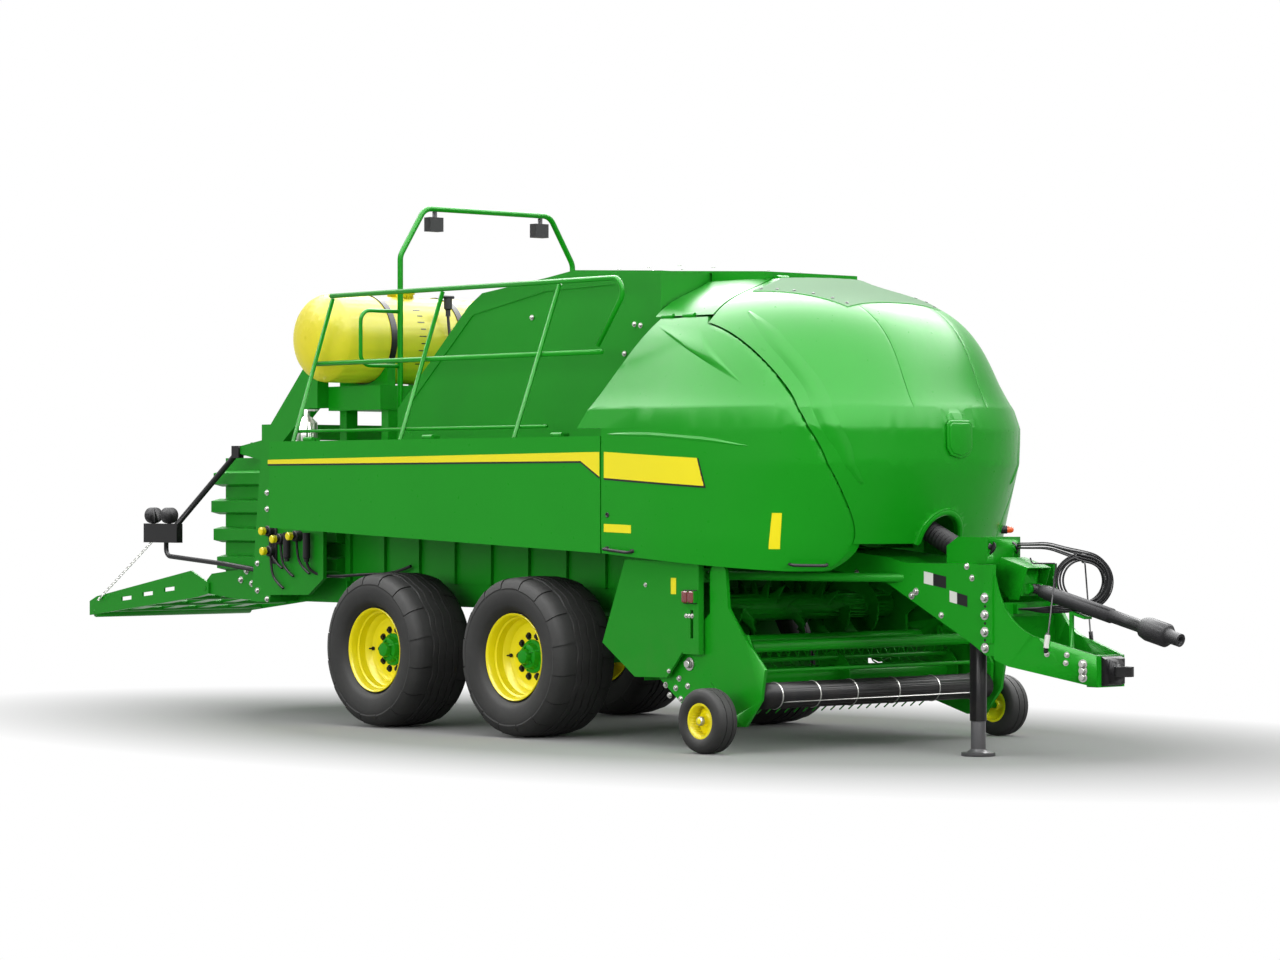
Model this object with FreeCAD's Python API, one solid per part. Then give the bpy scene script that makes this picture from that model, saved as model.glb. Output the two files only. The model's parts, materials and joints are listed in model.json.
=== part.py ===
"""Large square baler, towed, parked on its jack.

Built in millimetres with +X towards the tractor, +Y to the machine's left and
+Z up.  While it is modelled the front tandem axle is at x = 0 and the ground is
at z = 0; save() then moves every piece so that the machine's middle is at x = 0.
"""
import FreeCAD, Part
import math
import os

V = FreeCAD.Vector
X_AXIS, Y_AXIS, Z_AXIS = V(1, 0, 0), V(0, 1, 0), V(0, 0, 1)

# ---- driving dimensions ------------------------------------------------------
RUN = 0.05            # radial clearance of a shaft in its bore
SEAT = 0.3            # gap between curved faces that touch
GAP = 10.0            # gap between a moving panel and its neighbours

# bale chamber and rails
BALE_W = 1200.0
BALE_H = 900.0
FLOOR_Z = 1000.0      # top of the chamber floor
WALL = 40.0           # chamber wall with its stiffening
FLOOR_T = 20.0
CHAMBER_FRONT = 550.0
CHAMBER_REAR = -2650.0
FLAP_REAR = -4160.0
FLAP_T = 20.0
FLAP_RIB = 80.0       # height of a flap's ribs
RAIL_W = 100.0
RAIL_H = 160.0
RAIL_FRONT = 950.0
RAIL_REAR = -3500.0
CHAMBER_Y = BALE_W / 2
CHAMBER_TOP = FLOOR_Z + BALE_H
RAIL_TOP = FLOOR_Z - FLOOR_T
RAIL_LOW = RAIL_TOP - RAIL_H

# wheels
TYRE_R = 533.0
TYRE_W = 522.0
TYRE_Y = 1051.0       # tyre centre, from the machine's middle plane
RIM_SEAT_R = 278.0
RIM_LIP_R = 291.0
RIM_W = 420.0
HUB_R = 95.0
SPINDLE_R = 45.0
AXLE_GAP = 1502.0     # front to rear tandem axle
KINGPIN_Y = CHAMBER_Y + 120.0
KINGPIN_R = 28.0
AXLE_SIDE = 120.0     # square axle beam
LEAF_T = 18.0
LEAF_W = 70.0

# platform
DECK_T = 30.0
DECK_Z = CHAMBER_TOP + WALL
DECK_TOP = DECK_Z + DECK_T
DECK_REAR = CHAMBER_REAR - 15.0

# outer skin
SKIN_Y = 1280.0
SKIN_T = 30.0
DECK_Y = SKIN_Y - 35.0
DOOR_TOP = DECK_TOP + 14.0
DOOR_REAR_X = -2700.0
DOOR_SEAM_X = 900.0
DOOR_LOW_REAR = 1370.0
DOOR_LOW_SEAM = 1230.0
DOOR_PIVOT_Y = SKIN_Y - SKIN_T / 2
DOOR_PIVOT_Z = DOOR_TOP + 12.0
NOSE_LOW = 1130.0
NOSE_TOP = 3000.0
NOSE_BACK = 660.0
NOSE_TAPER_X = 1200.0
NOSE_CREASE = 2150.0  # the nose is flat-sided below this height and rounded above it
# height, front reach and distance inside the skin's width, from the bottom up
NOSE_LEVELS = (
    (NOSE_LOW, 2600.0, 15.0),
    (1300.0, 2660.0, 0.0),
    (1800.0, 2840.0, 0.0),
    (2030.0, 2840.0, 0.0),
    (NOSE_CREASE, 2800.0, 30.0),
    (2450.0, 2660.0, 170.0),
    (2720.0, 2460.0, 330.0),
    (2870.0, 2180.0, 530.0),
    (NOSE_TOP, 1790.0, 830.0),
)
NOSE_POWER = 2.5      # roundness of the nose seen from above
HOOD_LOW_Z = 1300.0
HOOD_PIVOT_X = 1557.0
HOOD_PIVOT_Z = NOSE_TOP + 8.0
HOOD_ARCH_R = 170.0
CENTRE_SEAM_Y = 330.0
WING_PIVOT_Y = SKIN_Y - 368.0
WING_PIVOT_Z = 2753.0
WING_FRONT = (2400.0, 1120.0)

# upper cover and rails
COVER_Y = 850.0
COVER_REAR = -1765.0
COVER_FRONT = 1000.0
RAIL_TUBE_R = 17.0
POST_R = 15.0
TOE_R = 12.0
RAIL_PLANE_Y = DECK_Y - 25.0
RAIL_TOP_Z = 3000.0
RAIL_MID_Z = 2530.0
RAIL_TOE_Z = 2055.0
POST_LEAN = 480.0     # how far a post leans forward over its height
POSTS_X = (-2500.0, -1270.0, -50.0)

# tank
TANK_X = -2400.0
TANK_Z = 2720.0
TANK_R = 315.0
TANK_END_Y = 985.0
TANK_DOME = 200.0
STRAP_W = 50.0
STRAP_T = 7.0
STRAPS_Y = (-630.0, 0.0, 630.0)
EXTINGUISHER = (-2600.0, -1020.0)

# hoop with the work lamps
HOOP_X = -1800.0
HOOP_TUBE_R = 20.0
HOOP_LEG_Y = 800.0
HOOP_TOP_Y = 580.0
HOOP_TOP_Z = 3634.0
HOOP_BEND_Z = HOOP_TOP_Z - 344.0
GATE_TUBE_R = 14.0

# rear portal and bale chute
PORTAL_Y = CHAMBER_Y + 160.0
PORTAL_W = 100.0
PORTAL_TOP = CHAMBER_TOP + 110.0
PORTAL_LEAN = 130.0   # how far its posts lean forward
CHUTE_PIVOT_X = -4240.0
CHUTE_PIVOT_Z = 900.0
CHUTE_END_X = -5740.0
CHUTE_END_Z = 690.0
CHUTE_Y = CHAMBER_Y + 155.0   # outer face of its side plates
CHUTE_ROLLER_R = 45.0
CHUTE_PLATE_T = 15.0
CHUTE_TAIL = 60.0     # its side plates behind the roller's centre
CHUTE_PIN_R = 20.0
CHUTE_AXLE_R = 15.0

# rear lamp arms and chute chains
LAMP_ARM_Y = CHUTE_Y + 75.0
STRUT_TOP = (-3685.0, 1937.0)
CHAIN_TOP = (-4850.0, 1265.0)
CHAIN_LOW = (-5620.0, 800.0)
CHAIN_Y = CHUTE_Y + 30.0
CHAIN_PIN_R = 8.0

# drawbar, jack, driveline
BEAM_Y = 280.0
BEAM_T = 20.0
BEAM_REAR = 1960.0
BEAM_FRONT = 3400.0
HITCH_TIP_X = 4260.0
HITCH_Z = 545.0
EYE_R = 25.5
EYE_OUT = 60.0        # outside radius of the eye
EYE_H = 60.0
BEAM_TOP = 1180.0
GEARBOX_REAR = 2885.0
GEARBOX_FRONT = 3220.0
GEARBOX_Y = 155.0
GEARBOX_TOP = 1345.0
FLYWHEEL_Z = 1600.0
FLYWHEEL_R = 330.0
JACK_X = 3200.0
JACK_Y = -205.0
JACK_TUBE_R = 52.0
JACK_LEG_R = 46.0
JACK_FOOT_R = 105.0
JACK_FOOT_T = 20.0
JACK_TUBE_LOW = 215.0
JACK_TUBE_TOP = 800.0
JACK_BOSS_T = 24.0
JACK_TRAVEL = JACK_TUBE_LOW - JACK_FOOT_T - JACK_BOSS_T - 10.0
PTO_PIVOT_X = 3480.0
PTO_PIVOT_Z = 1030.0
PTO_TIP_X = 4640.0
PTO_TIP_Z = 745.0
PTO_PIN_R = 12.0
PTO_TUBE_R = 46.0
PTO_BORE_R = 22.2
PTO_BORE_L = 90.0
PTO_END_R = 40.0
PTO_TILT = math.atan2(PTO_PIVOT_Z - PTO_TIP_Z, PTO_TIP_X - PTO_PIVOT_X)

# pickup and feeder
PICKUP_PIVOT_X = 1150.0
PICKUP_PIVOT_Z = 640.0
PICKUP_PIN_R = 30.0
PICKUP_Y = 1100.0     # outer face of its side plates
PICKUP_T = 25.0
REEL_X = 1730.0
REEL_Z = 440.0
REEL_R = 290.0
REEL_CORE_R = 60.0
REEL_SHAFT_R = 25.0
TINE_BARS = 4
TINES = 24
GUARD_PIVOT_X = 1700.0
GUARD_PIVOT_Z = 700.0
GUARD_PIN_R = 15.0
ROLLER_X = 2110.0
ROLLER_Z = 350.0
ROLLER_R = 83.0
GAUGE_X = 1960.0
GAUGE_R = 203.0
GAUGE_W = 165.0
GAUGE_Y = 1327.0
GAUGE_SEAT_R = 105.0
GAUGE_SPINDLE_R = 20.0
ROTOR_X = 1190.0
ROTOR_Z = 870.0
ROTOR_R = 220.0
ROTOR_SHAFT_R = 35.0
ROTOR_CORE_R = 90.0
ROTOR_HALF = 470.0    # half width of the rotor between its augers
FLIGHT_PITCH = 270.0
FEEDER_Y = 1050.0     # outer face of the feeder's side plates
FEEDER_T = 20.0

# guard over the drive shaft's joint, and the hydraulic hoses coiled on their hook
GUARD_Y = 108.0
HOSE_R = 19.0         # the bundle of hoses
HOSE_OUT = (GEARBOX_FRONT, 115.0, 1285.0)
HOSE_IN = (BEAM_FRONT, -62.0, 905.0)
HOSE_PLATE_T = 14.0
HOOK_X = 3762.0
HOOK_R = 5.0
COIL_X = 3701.0
COIL_Y = 197.0
COIL_Z = 1074.0
COIL_R = 150.0
COIL_TUBE_R = 28.0
COIL_TURN = math.radians(48.0)      # the coil's plane, turned from the X axis
COIL_AXIS = V(-math.sin(COIL_TURN), math.cos(COIL_TURN), 0)
HOSE_LEAD = ((3234.0, 115.0, 1285.0), (3330.0, 115.0, 1285.0), (3480.0, 124.0, 1290.0),
             (3600.0, 138.0, 1258.0), (3695.0, 189.0, 1229.0))
HOSE_TAIL = ((3690.0, 186.0, 921.0), (3624.0, 101.0, 911.0), (3573.0, -6.0, 903.0), (3527.0, -45.0, 902.0),
             (3480.0, -62.0, 905.0), (3435.0, -62.0, 905.0))

# the machine's middle, between the chute's end and the driveline's tip
MIDDLE_X = (CHUTE_END_X - CHUTE_TAIL + PTO_TIP_X + PTO_END_R * math.sin(PTO_TILT)) / 2


# ---- helpers -----------------------------------------------------------------
SIDES = (("right", -1), ("left", 1))


def box(x0, x1, y0, y1, z0, z1):
    return Part.makeBox(x1 - x0, y1 - y0, z1 - z0, V(x0, y0, z0))


def mirror(shape):
    return shape.mirror(V(0, 0, 0), Y_AXIS)


def both(shape):
    """The shape and its mirror image on the machine's other side."""
    return Part.makeCompound([shape, mirror(shape)])


def join(*shapes):
    first = shapes[0]
    return first.fuse(list(shapes[1:])).removeSplitter()


def side_plate(points, y0, y1):
    """A plate with an outline in x and z, between two distances to the left."""
    wire = Part.makePolygon([V(x, y0, z) for x, z in points] + [V(points[0][0], y0, points[0][1])])
    return Part.Face(wire).extrude(V(0, y1 - y0, 0))


def swept_plate(corners, curve, y0, y1):
    """A side plate whose outline closes with a smooth curve from the last corner to the first."""
    points = [V(x, y0, z) for x, z in corners]
    edges = [Part.LineSegment(a, b).toShape() for a, b in zip(points, points[1:])]
    spline = Part.BSplineCurve()
    spline.interpolate([points[-1]] + [V(x, y0, z) for x, z in curve] + [points[0]])
    return Part.Face(Part.Wire(edges + [spline.toShape()])).extrude(V(0, y1 - y0, 0))


def rounded_plate(points, y0, y1, radius):
    """A side plate with all its corners rounded."""
    wire = Part.makePolygon([V(x, y0, z) for x, z in points] + [V(points[0][0], y0, points[0][1])])
    face = Part.Face(wire).makeOffset2D(-radius).makeOffset2D(radius)
    return face.extrude(V(0, y1 - y0, 0))


def rod(start, end, radius):
    start, end = V(*start), V(*end)
    return Part.makeCylinder(radius, (end - start).Length, start, end - start)


def cross_rod(x, z, reach, radius):
    """A rod right across the machine, as far to one side as to the other."""
    return rod((x, -reach, z), (x, reach, z), radius)


def pipe(start, end, outer, inner):
    return rod(start, end, outer).cut(rod(start, end, inner))


def tube_path(points, bends):
    """Straight runs through points, with each corner rounded to its bend radius."""
    points = [V(*p) for p in points]
    edges = []
    last = points[0]
    for before, corner, after, bend in zip(points, points[1:], points[2:], bends):
        into = (corner - before).normalize()
        away = (after - corner).normalize()
        turn = into.getAngle(away)
        reach = bend * math.tan(turn / 2)
        start = corner - into * reach
        end = corner + away * reach
        inward = (away - into).normalize()
        middle = corner + inward * (bend / math.cos(turn / 2) - bend)
        edges.append(Part.LineSegment(last, start).toShape())
        edges.append(Part.Arc(start, middle, end).toShape())
        last = end
    edges.append(Part.LineSegment(last, points[-1]).toShape())
    return Part.Wire(edges)


def along_path(path, points, radius):
    ring = Part.Wire(Part.Circle(V(*points[0]), V(*points[1]) - V(*points[0]), radius).toShape())
    return path.makePipeShell([ring], True, False)


def bent_tube(points, radius, bend):
    return along_path(tube_path(points, [bend] * (len(points) - 2)), points, radius)


def turned(profile, x, y, z, outward=1):
    """A solid of revolution about the y direction from (distance out, radius) points."""
    points = [V(x, y + outward * d, z + r) for d, r in profile]
    face = Part.Face(Part.makePolygon(points + [points[0]]))
    return face.revolve(V(x, y, z), Y_AXIS, 360)


def save(name, shape):
    os.makedirs("parts", exist_ok=True)
    moved = shape.copy()
    moved.translate(V(-MIDDLE_X, 0, 0))
    moved.exportStep("parts/" + name + ".step")


# ---- wheels ------------------------------------------------------------------
def tyre(x, y, z, radius, width, seat_r, lip_r, rim_w):
    half = width / 2
    bead = rim_w / 2 - 14
    wall = radius - lip_r
    right = [(bead, lip_r + 8), (half * 0.93, lip_r + wall * 0.22), (half, lip_r + wall * 0.5),
             (half * 0.97, radius - wall * 0.16), (half * 0.86, radius - wall * 0.04), (half * 0.70, radius)]
    left = [(-d, r) for d, r in reversed(right)]
    return turned([(-bead, seat_r + SEAT), (bead, seat_r + SEAT)] + right + left, x, y, z)


def wheel(x, y, z, out, seat_r, lip_r, rim_w, hub_r, bore_r, disc_at, hub_in):
    """Rim barrel, dished disc and hub with a blind bore from its inner end."""
    half = rim_w / 2
    wall = 8.0
    barrel = turned([(-half, lip_r), (-half, seat_r - wall), (half, seat_r - wall), (half, lip_r),
                     (half - wall, lip_r), (half - wall, seat_r), (-half + wall, seat_r),
                     (-half + wall, lip_r)], x, y, z, out)
    disc = turned([(disc_at, seat_r - wall / 2), (disc_at + 40, hub_r * 1.6), (disc_at + 40, hub_r * 0.8),
                   (disc_at + 26, hub_r * 0.8), (disc_at + 26, hub_r * 1.6),
                   (disc_at - 14, seat_r - wall / 2)],
                  x, y, z, out)
    hub = turned([(-hub_in, bore_r + RUN), (-hub_in, hub_r), (disc_at + 40, hub_r),
                  (disc_at + 90, hub_r * 0.72), (disc_at + 100, hub_r * 0.5), (disc_at + 100, 0),
                  (disc_at + 60, 0), (disc_at + 60, bore_r + RUN)], x, y, z, out)
    return join(barrel, disc, hub)


def road_wheels():
    for side, s in SIDES:
        for place, x in (("front", 0.0), ("rear", -AXLE_GAP)):
            save("tyre_%s_%s" % (place, side),
                 tyre(x, s * TYRE_Y, TYRE_R, TYRE_R, TYRE_W, RIM_SEAT_R, RIM_LIP_R, RIM_W))
            save("wheel_%s_%s" % (place, side),
                 wheel(x, s * TYRE_Y, TYRE_R, s, RIM_SEAT_R, RIM_LIP_R, RIM_W, HUB_R, SPINDLE_R, 0.0, 120.0))


def axles():
    half = AXLE_SIDE / 2
    spindle_in = TYRE_Y - 160.0
    spindle_out = TYRE_Y + 55.0
    beam = box(-half, half, -spindle_in, spindle_in, TYRE_R - half, TYRE_R + half)
    save("axle_front", join(beam, cross_rod(0, TYRE_R, spindle_out, SPINDLE_R)))
    # steered axle: a beam with a fork at each end
    x = -AXLE_GAP
    fork_in = KINGPIN_Y - 75.0
    fork_h = 115.0
    ear_t = 30.0
    fork = box(x - half, x + half, fork_in - 40, fork_in + 5, TYRE_R - fork_h, TYRE_R + fork_h)
    for low in (TYRE_R - fork_h, TYRE_R + fork_h - ear_t):
        ear = join(box(x - half, x + half, fork_in, KINGPIN_Y, low, low + ear_t),
                   Part.makeCylinder(half, ear_t, V(x, KINGPIN_Y, low)))
        fork = join(fork, ear)
    fork = fork.cut(Part.makeCylinder(KINGPIN_R + RUN, 400, V(x, KINGPIN_Y, TYRE_R - 200)))
    beam = box(x - half, x + half, -fork_in + 1, fork_in - 1, TYRE_R - half, TYRE_R + half)
    save("axle_rear", join(beam, fork, mirror(fork)))
    arm_x = x - 230.0
    pin_r = 10.0
    for side, s in SIDES:
        y = s * KINGPIN_Y
        block = Part.makeCylinder(half - 8, 160, V(x, y, TYRE_R - 80))
        pin = Part.makeCylinder(KINGPIN_R, 2 * fork_h, V(x, y, TYRE_R - fork_h))
        spindle = rod((x, y, TYRE_R), (x, s * spindle_out, TYRE_R), SPINDLE_R)
        collar = rod((x, y, TYRE_R), (x, s * (TYRE_Y - 130), TYRE_R), SPINDLE_R + 22)
        arm = box(arm_x - 20, x, y - 20, y + 20, TYRE_R - 40, TYRE_R - 10)
        eye = Part.makeCylinder(pin_r, 60, V(arm_x, y, TYRE_R - 40))
        save("knuckle_" + side, join(block, pin, spindle, collar, arm, eye))
    # tie rod between the two steering arms, on their upright pins
    bar = rod((arm_x, -KINGPIN_Y + 24, TYRE_R + 6), (arm_x, KINGPIN_Y - 24, TYRE_R + 6), 14)
    ends = [pipe((arm_x, s * KINGPIN_Y, TYRE_R - 8), (arm_x, s * KINGPIN_Y, TYRE_R + 20), 26, r)
            for s, r in ((-1, pin_r + RUN), (1, pin_r + 6))]
    save("tie_rod", join(bar, ends[0], ends[1]))


def spring(x, y0, y1):
    """Three curved leaves clamped to the axle, their longest hung from the rail."""
    seat = TYRE_R + AXLE_SIDE / 2
    rise = RAIL_LOW - 60 - (seat + 2.5 * LEAF_T)
    longest = 430.0
    solids = []
    for count, reach in enumerate((230.0, 330.0, longest)):
        low = seat + LEAF_T * count
        lift = rise * (reach / longest) ** 2
        ends = [(V(x - reach, y0, low + d + lift), V(x, y0, low + d), V(x + reach, y0, low + d + lift))
                for d in (0.0, LEAF_T)]
        bottom = Part.Arc(*ends[0]).toShape()
        top = Part.Arc(*ends[1]).toShape()
        sides = [Part.LineSegment(ends[0][k], ends[1][k]).toShape() for k in (0, 2)]
        face = Part.Face(Part.Wire(Part.sortEdges([bottom, top] + sides)[0]))
        solids.append(face.extrude(V(0, y1 - y0, 0)))
    clamp = box(x - 55, x + 55, y0 - 6, y1 + 6, seat, seat + 3 * LEAF_T + 16)
    hangers = [box(end - 45, end + 45, y0, y1, RAIL_LOW - 62 - LEAF_T, RAIL_LOW)
               for end in (x - longest + 20, x + longest - 20)]
    return join(*solids, clamp, *hangers)


def suspension():
    y0 = CHAMBER_Y - RAIL_W + 15
    springs = [spring(x, y0, y0 + LEAF_W) for x in (0.0, -AXLE_GAP)]
    save("leaf_springs", both(Part.makeCompound(springs)))


# ---- chassis and chamber -----------------------------------------------------
def chassis():
    inner = CHAMBER_Y - RAIL_W
    rail = box(RAIL_REAR, RAIL_FRONT, inner, CHAMBER_Y, RAIL_LOW, RAIL_TOP)
    hollow = box(RAIL_REAR - 1, RAIL_FRONT + 1, CHAMBER_Y - 12 - 60, CHAMBER_Y - 12,
                 RAIL_LOW + 12, RAIL_TOP - 12)
    rail = rail.cut(hollow)
    cross = [box(x, x + 80, -inner, inner, RAIL_LOW + 20, RAIL_TOP - 20)
             for x in (RAIL_REAR, -2300.0, -900.0, RAIL_FRONT - 80)]
    # outriggers that carry the skin's lower edge
    outriggers = []
    for x in (-2560.0, -1960.0, 480.0):
        outriggers.append(side_plate([(x, RAIL_LOW), (x + 12, RAIL_LOW), (x + 12, RAIL_TOP), (x, RAIL_TOP)],
                                     CHAMBER_Y, CHAMBER_Y + WALL + 60))
    side = join(rail, *outriggers)
    save("chassis_frame", join(side, mirror(side), *cross))


def feed_channel():
    """The curved channel that carries the crop up into the chamber."""
    half = CHAMBER_Y - RAIL_W - 10
    corners = [(640, 850), (620, RAIL_TOP), (50, RAIL_TOP), (100, 800)]
    return swept_plate(corners, [(210, 640), (480, 490), (780, 430), (1000, 470), (1010, 560), (820, 600),
                                 (700, 700)], -half, half)


def bale_chamber():
    outer = CHAMBER_Y + WALL
    skin = WALL - 25
    shell = box(CHAMBER_REAR, CHAMBER_FRONT, -CHAMBER_Y - skin, CHAMBER_Y + skin,
                RAIL_TOP, CHAMBER_TOP + WALL)
    shell = shell.cut(box(CHAMBER_REAR - 1, CHAMBER_FRONT - 60, -CHAMBER_Y, CHAMBER_Y, FLOOR_Z, CHAMBER_TOP))
    pitch = 400.0
    ribs = []
    for k in range(8):
        x = CHAMBER_REAR + pitch * k
        ribs += [box(x, x + 60, *sorted((s * (CHAMBER_Y + skin), s * outer)), RAIL_TOP, CHAMBER_TOP + WALL)
                 for s in (-1, 1)]
    floor = box(CHUTE_PIVOT_X + 40, CHAMBER_REAR, -CHAMBER_Y, CHAMBER_Y, RAIL_TOP, FLOOR_Z)
    save("bale_chamber", join(shell, floor, feed_channel(), *ribs))


def flap_rib(x0, x1, face, z, height):
    """A hat-section rib standing out from a flap's face."""
    slope = 18.0
    points = [V(x0, face, z), V(x0, face + FLAP_RIB, z + slope), V(x0, face + FLAP_RIB, z + height - slope),
              V(x0, face, z + height)]
    return Part.Face(Part.makePolygon(points + [points[0]])).extrude(V(x1 - x0, 0, 0))


def density_flaps():
    """The chamber's rear side walls and lid, which squeeze the bale."""
    face = CHAMBER_Y + FLAP_T
    plate = box(FLAP_REAR, CHAMBER_REAR, CHAMBER_Y, face, FLOOR_Z + 20, CHAMBER_TOP - 20)
    ribs = [flap_rib(FLAP_REAR - overhang, CHAMBER_REAR - 20, face, FLOOR_Z + z, 120.0)
            for z, overhang in ((35.0, 0.0), (245.0, 45.0), (455.0, 75.0), (665.0, 45.0))]
    side = join(plate, *ribs)
    lid = box(FLAP_REAR, CHAMBER_REAR, -CHAMBER_Y + 60, CHAMBER_Y - 60, CHAMBER_TOP, CHAMBER_TOP + FLAP_T)
    top = CHAMBER_TOP + FLAP_T
    beams = [box(FLAP_REAR + 20, CHAMBER_REAR - 20, y - 45, y + 45, top, top + FLAP_RIB)
             for y in (-CHAMBER_Y * 0.6, 0.0, CHAMBER_Y * 0.6)]
    save("density_flaps", Part.makeCompound([side, mirror(side), join(lid, *beams)]))


def rear_portal():
    """The frame round the chamber's end, with arms up to the tank and lugs for the chute."""
    inner, outer = PORTAL_Y, PORTAL_Y + PORTAL_W
    lean = PORTAL_LEAN
    rear, front = RAIL_REAR, RAIL_REAR + 230
    top = PORTAL_TOP
    post = side_plate([(rear, RAIL_LOW), (front, RAIL_LOW), (front + lean, top), (rear + lean, top)],
                      inner, outer)
    arm_end = TANK_X - 290.0
    arm_top = TANK_Z - 175.0
    run = arm_top - top
    arm = side_plate([(rear + lean, top - 40), (rear + lean, top), (rear + lean + run, arm_top),
                      (arm_end, arm_top), (arm_end, arm_top - 315), (arm_end - 100, arm_top - 315),
                      (front + lean, top - 40)], inner, outer)
    web = side_plate([(front - 40, RAIL_LOW + 50), (-2800, 880), (-2620, 1000), (-2620, 1420),
                      (front, 1420)],
                     outer - 30, outer)
    foot = box(rear, front, CHAMBER_Y, inner, RAIL_LOW, FLOOR_Z - 60)
    lug_y = CHUTE_Y - CHUTE_PLATE_T - 5
    lug = side_plate([(front, RAIL_LOW), (rear, RAIL_LOW), (-3900, 830),
                      (CHUTE_PIVOT_X - 35, CHUTE_PIVOT_Z - 35),
                      (CHUTE_PIVOT_X - 35, CHUTE_PIVOT_Z + 35), (CHUTE_PIVOT_X + 60, FLOOR_Z + 10),
                      (-3700, FLOOR_Z + 60), (front, FLOOR_Z + 60)], lug_y - 35, lug_y)
    pin = rod((CHUTE_PIVOT_X, lug_y - 20, CHUTE_PIVOT_Z), (CHUTE_PIVOT_X, CHUTE_Y + 4, CHUTE_PIVOT_Z),
              CHUTE_PIN_R)
    bridge = box(rear, front, lug_y - 5, inner + 5, RAIL_LOW, FLOOR_Z + 60)
    side = join(post, arm, web, foot, lug, pin, bridge)
    beam = box(rear + lean, front + lean, -outer, outer, top, top + 110)
    # ears for the lamp arms' struts
    ear = side_plate([(rear + lean, 1850), (rear + lean, 2010), (STRUT_TOP[0] - 25, STRUT_TOP[1] + 22),
                      (STRUT_TOP[0] - 25, STRUT_TOP[1] - 22)], LAMP_ARM_Y - 8, LAMP_ARM_Y + 8)
    portal = join(side, mirror(side), beam, ear, mirror(ear))
    save("rear_portal", portal)
    return portal


# ---- skin --------------------------------------------------------------------
def nose_section(z, reach, half):
    """One level of the nose: straight sides and a round front."""
    count = 9
    points = []
    for i in range(count):
        angle = math.pi / 2 * i / (count - 1)
        across = half * math.sin(angle)
        share = (1 - (across / half) ** NOSE_POWER) ** (1 / NOSE_POWER)
        points.append(V(NOSE_TAPER_X + (reach - NOSE_TAPER_X) * share, across, z))
    curve = [V(p.x, -p.y, p.z) for p in reversed(points)] + points[1:]
    front = Part.BSplineCurve()
    front.interpolate(curve)
    first, last = curve[0], curve[-1]
    back_right = V(NOSE_BACK, first.y, z)
    back_left = V(NOSE_BACK, last.y, z)
    edges = [front.toShape(), Part.LineSegment(last, back_left).toShape(),
             Part.LineSegment(back_left, back_right).toShape(),
             Part.LineSegment(back_right, first).toShape()]
    return Part.Wire(edges)


def nose_body(inset):
    """The nose's full body, or the same body smaller by the inset."""
    lower, upper = [], []
    for z, reach, inside in NOSE_LEVELS:
        level = z
        if z == NOSE_LOW and inset:
            level = z - 1
        if z == NOSE_TOP:
            level = z - inset
        section = nose_section(level, reach - inset, SKIN_Y - inside - inset)
        if z <= NOSE_CREASE:
            lower.append(section)
        if z >= NOSE_CREASE:
            upper.append(section)
    return Part.makeLoft(lower, True, True).fuse(Part.makeLoft(upper, True, False))


SEAM = ((1560.0, 2690.0), (1880.0, 2570.0), (2230.0, 2310.0), (2440.0, 2050.0),
        (2530.0, 1850.0), (2575.0, 1570.0), (2550.0, 1320.0), WING_FRONT)
SEAM_TOP = (1520.0, 2740.0)


def hinge_line(fixed, moving, origin, along, places, webs=None, barrel_r=16.0, pin_r=6.0):
    """Add hinges to two panels: ears and pin on the fixed one, a knuckle on the other.

    webs(start, end, moves) gives the solid that carries an ear or knuckle, if any.
    """
    origin = V(*origin)
    knuckle, ear, play = 60.0, 20.0, 1.0

    def piece(start, end, radius):
        return Part.makeCylinder(radius, end - start, origin + along * start, along)

    for place in places:
        low, high = place - knuckle / 2, place + knuckle / 2
        ears = ((low - play - ear, low - play), (high + play, high + play + ear))
        for start, end in ears:
            moving = moving.cut(piece(start - play, end + play, barrel_r + 3))
        fixed = fixed.cut(piece(low - play, high + play, barrel_r + 3))
        leaf = piece(low, high, barrel_r)
        if webs:
            leaf = leaf.fuse(webs(low, high, True))
        leaf = leaf.cut(piece(low - 1, high + 1, pin_r + RUN))
        moving = moving.fuse(leaf)
        for start, end in ears:
            holder = piece(start, end, barrel_r)
            if webs:
                holder = holder.fuse(webs(start, end, False))
            fixed = fixed.fuse(holder)
        fixed = fixed.fuse(piece(low - play - ear, high + play + ear, pin_r))
    return fixed.removeSplitter(), moving.removeSplitter()


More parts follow.
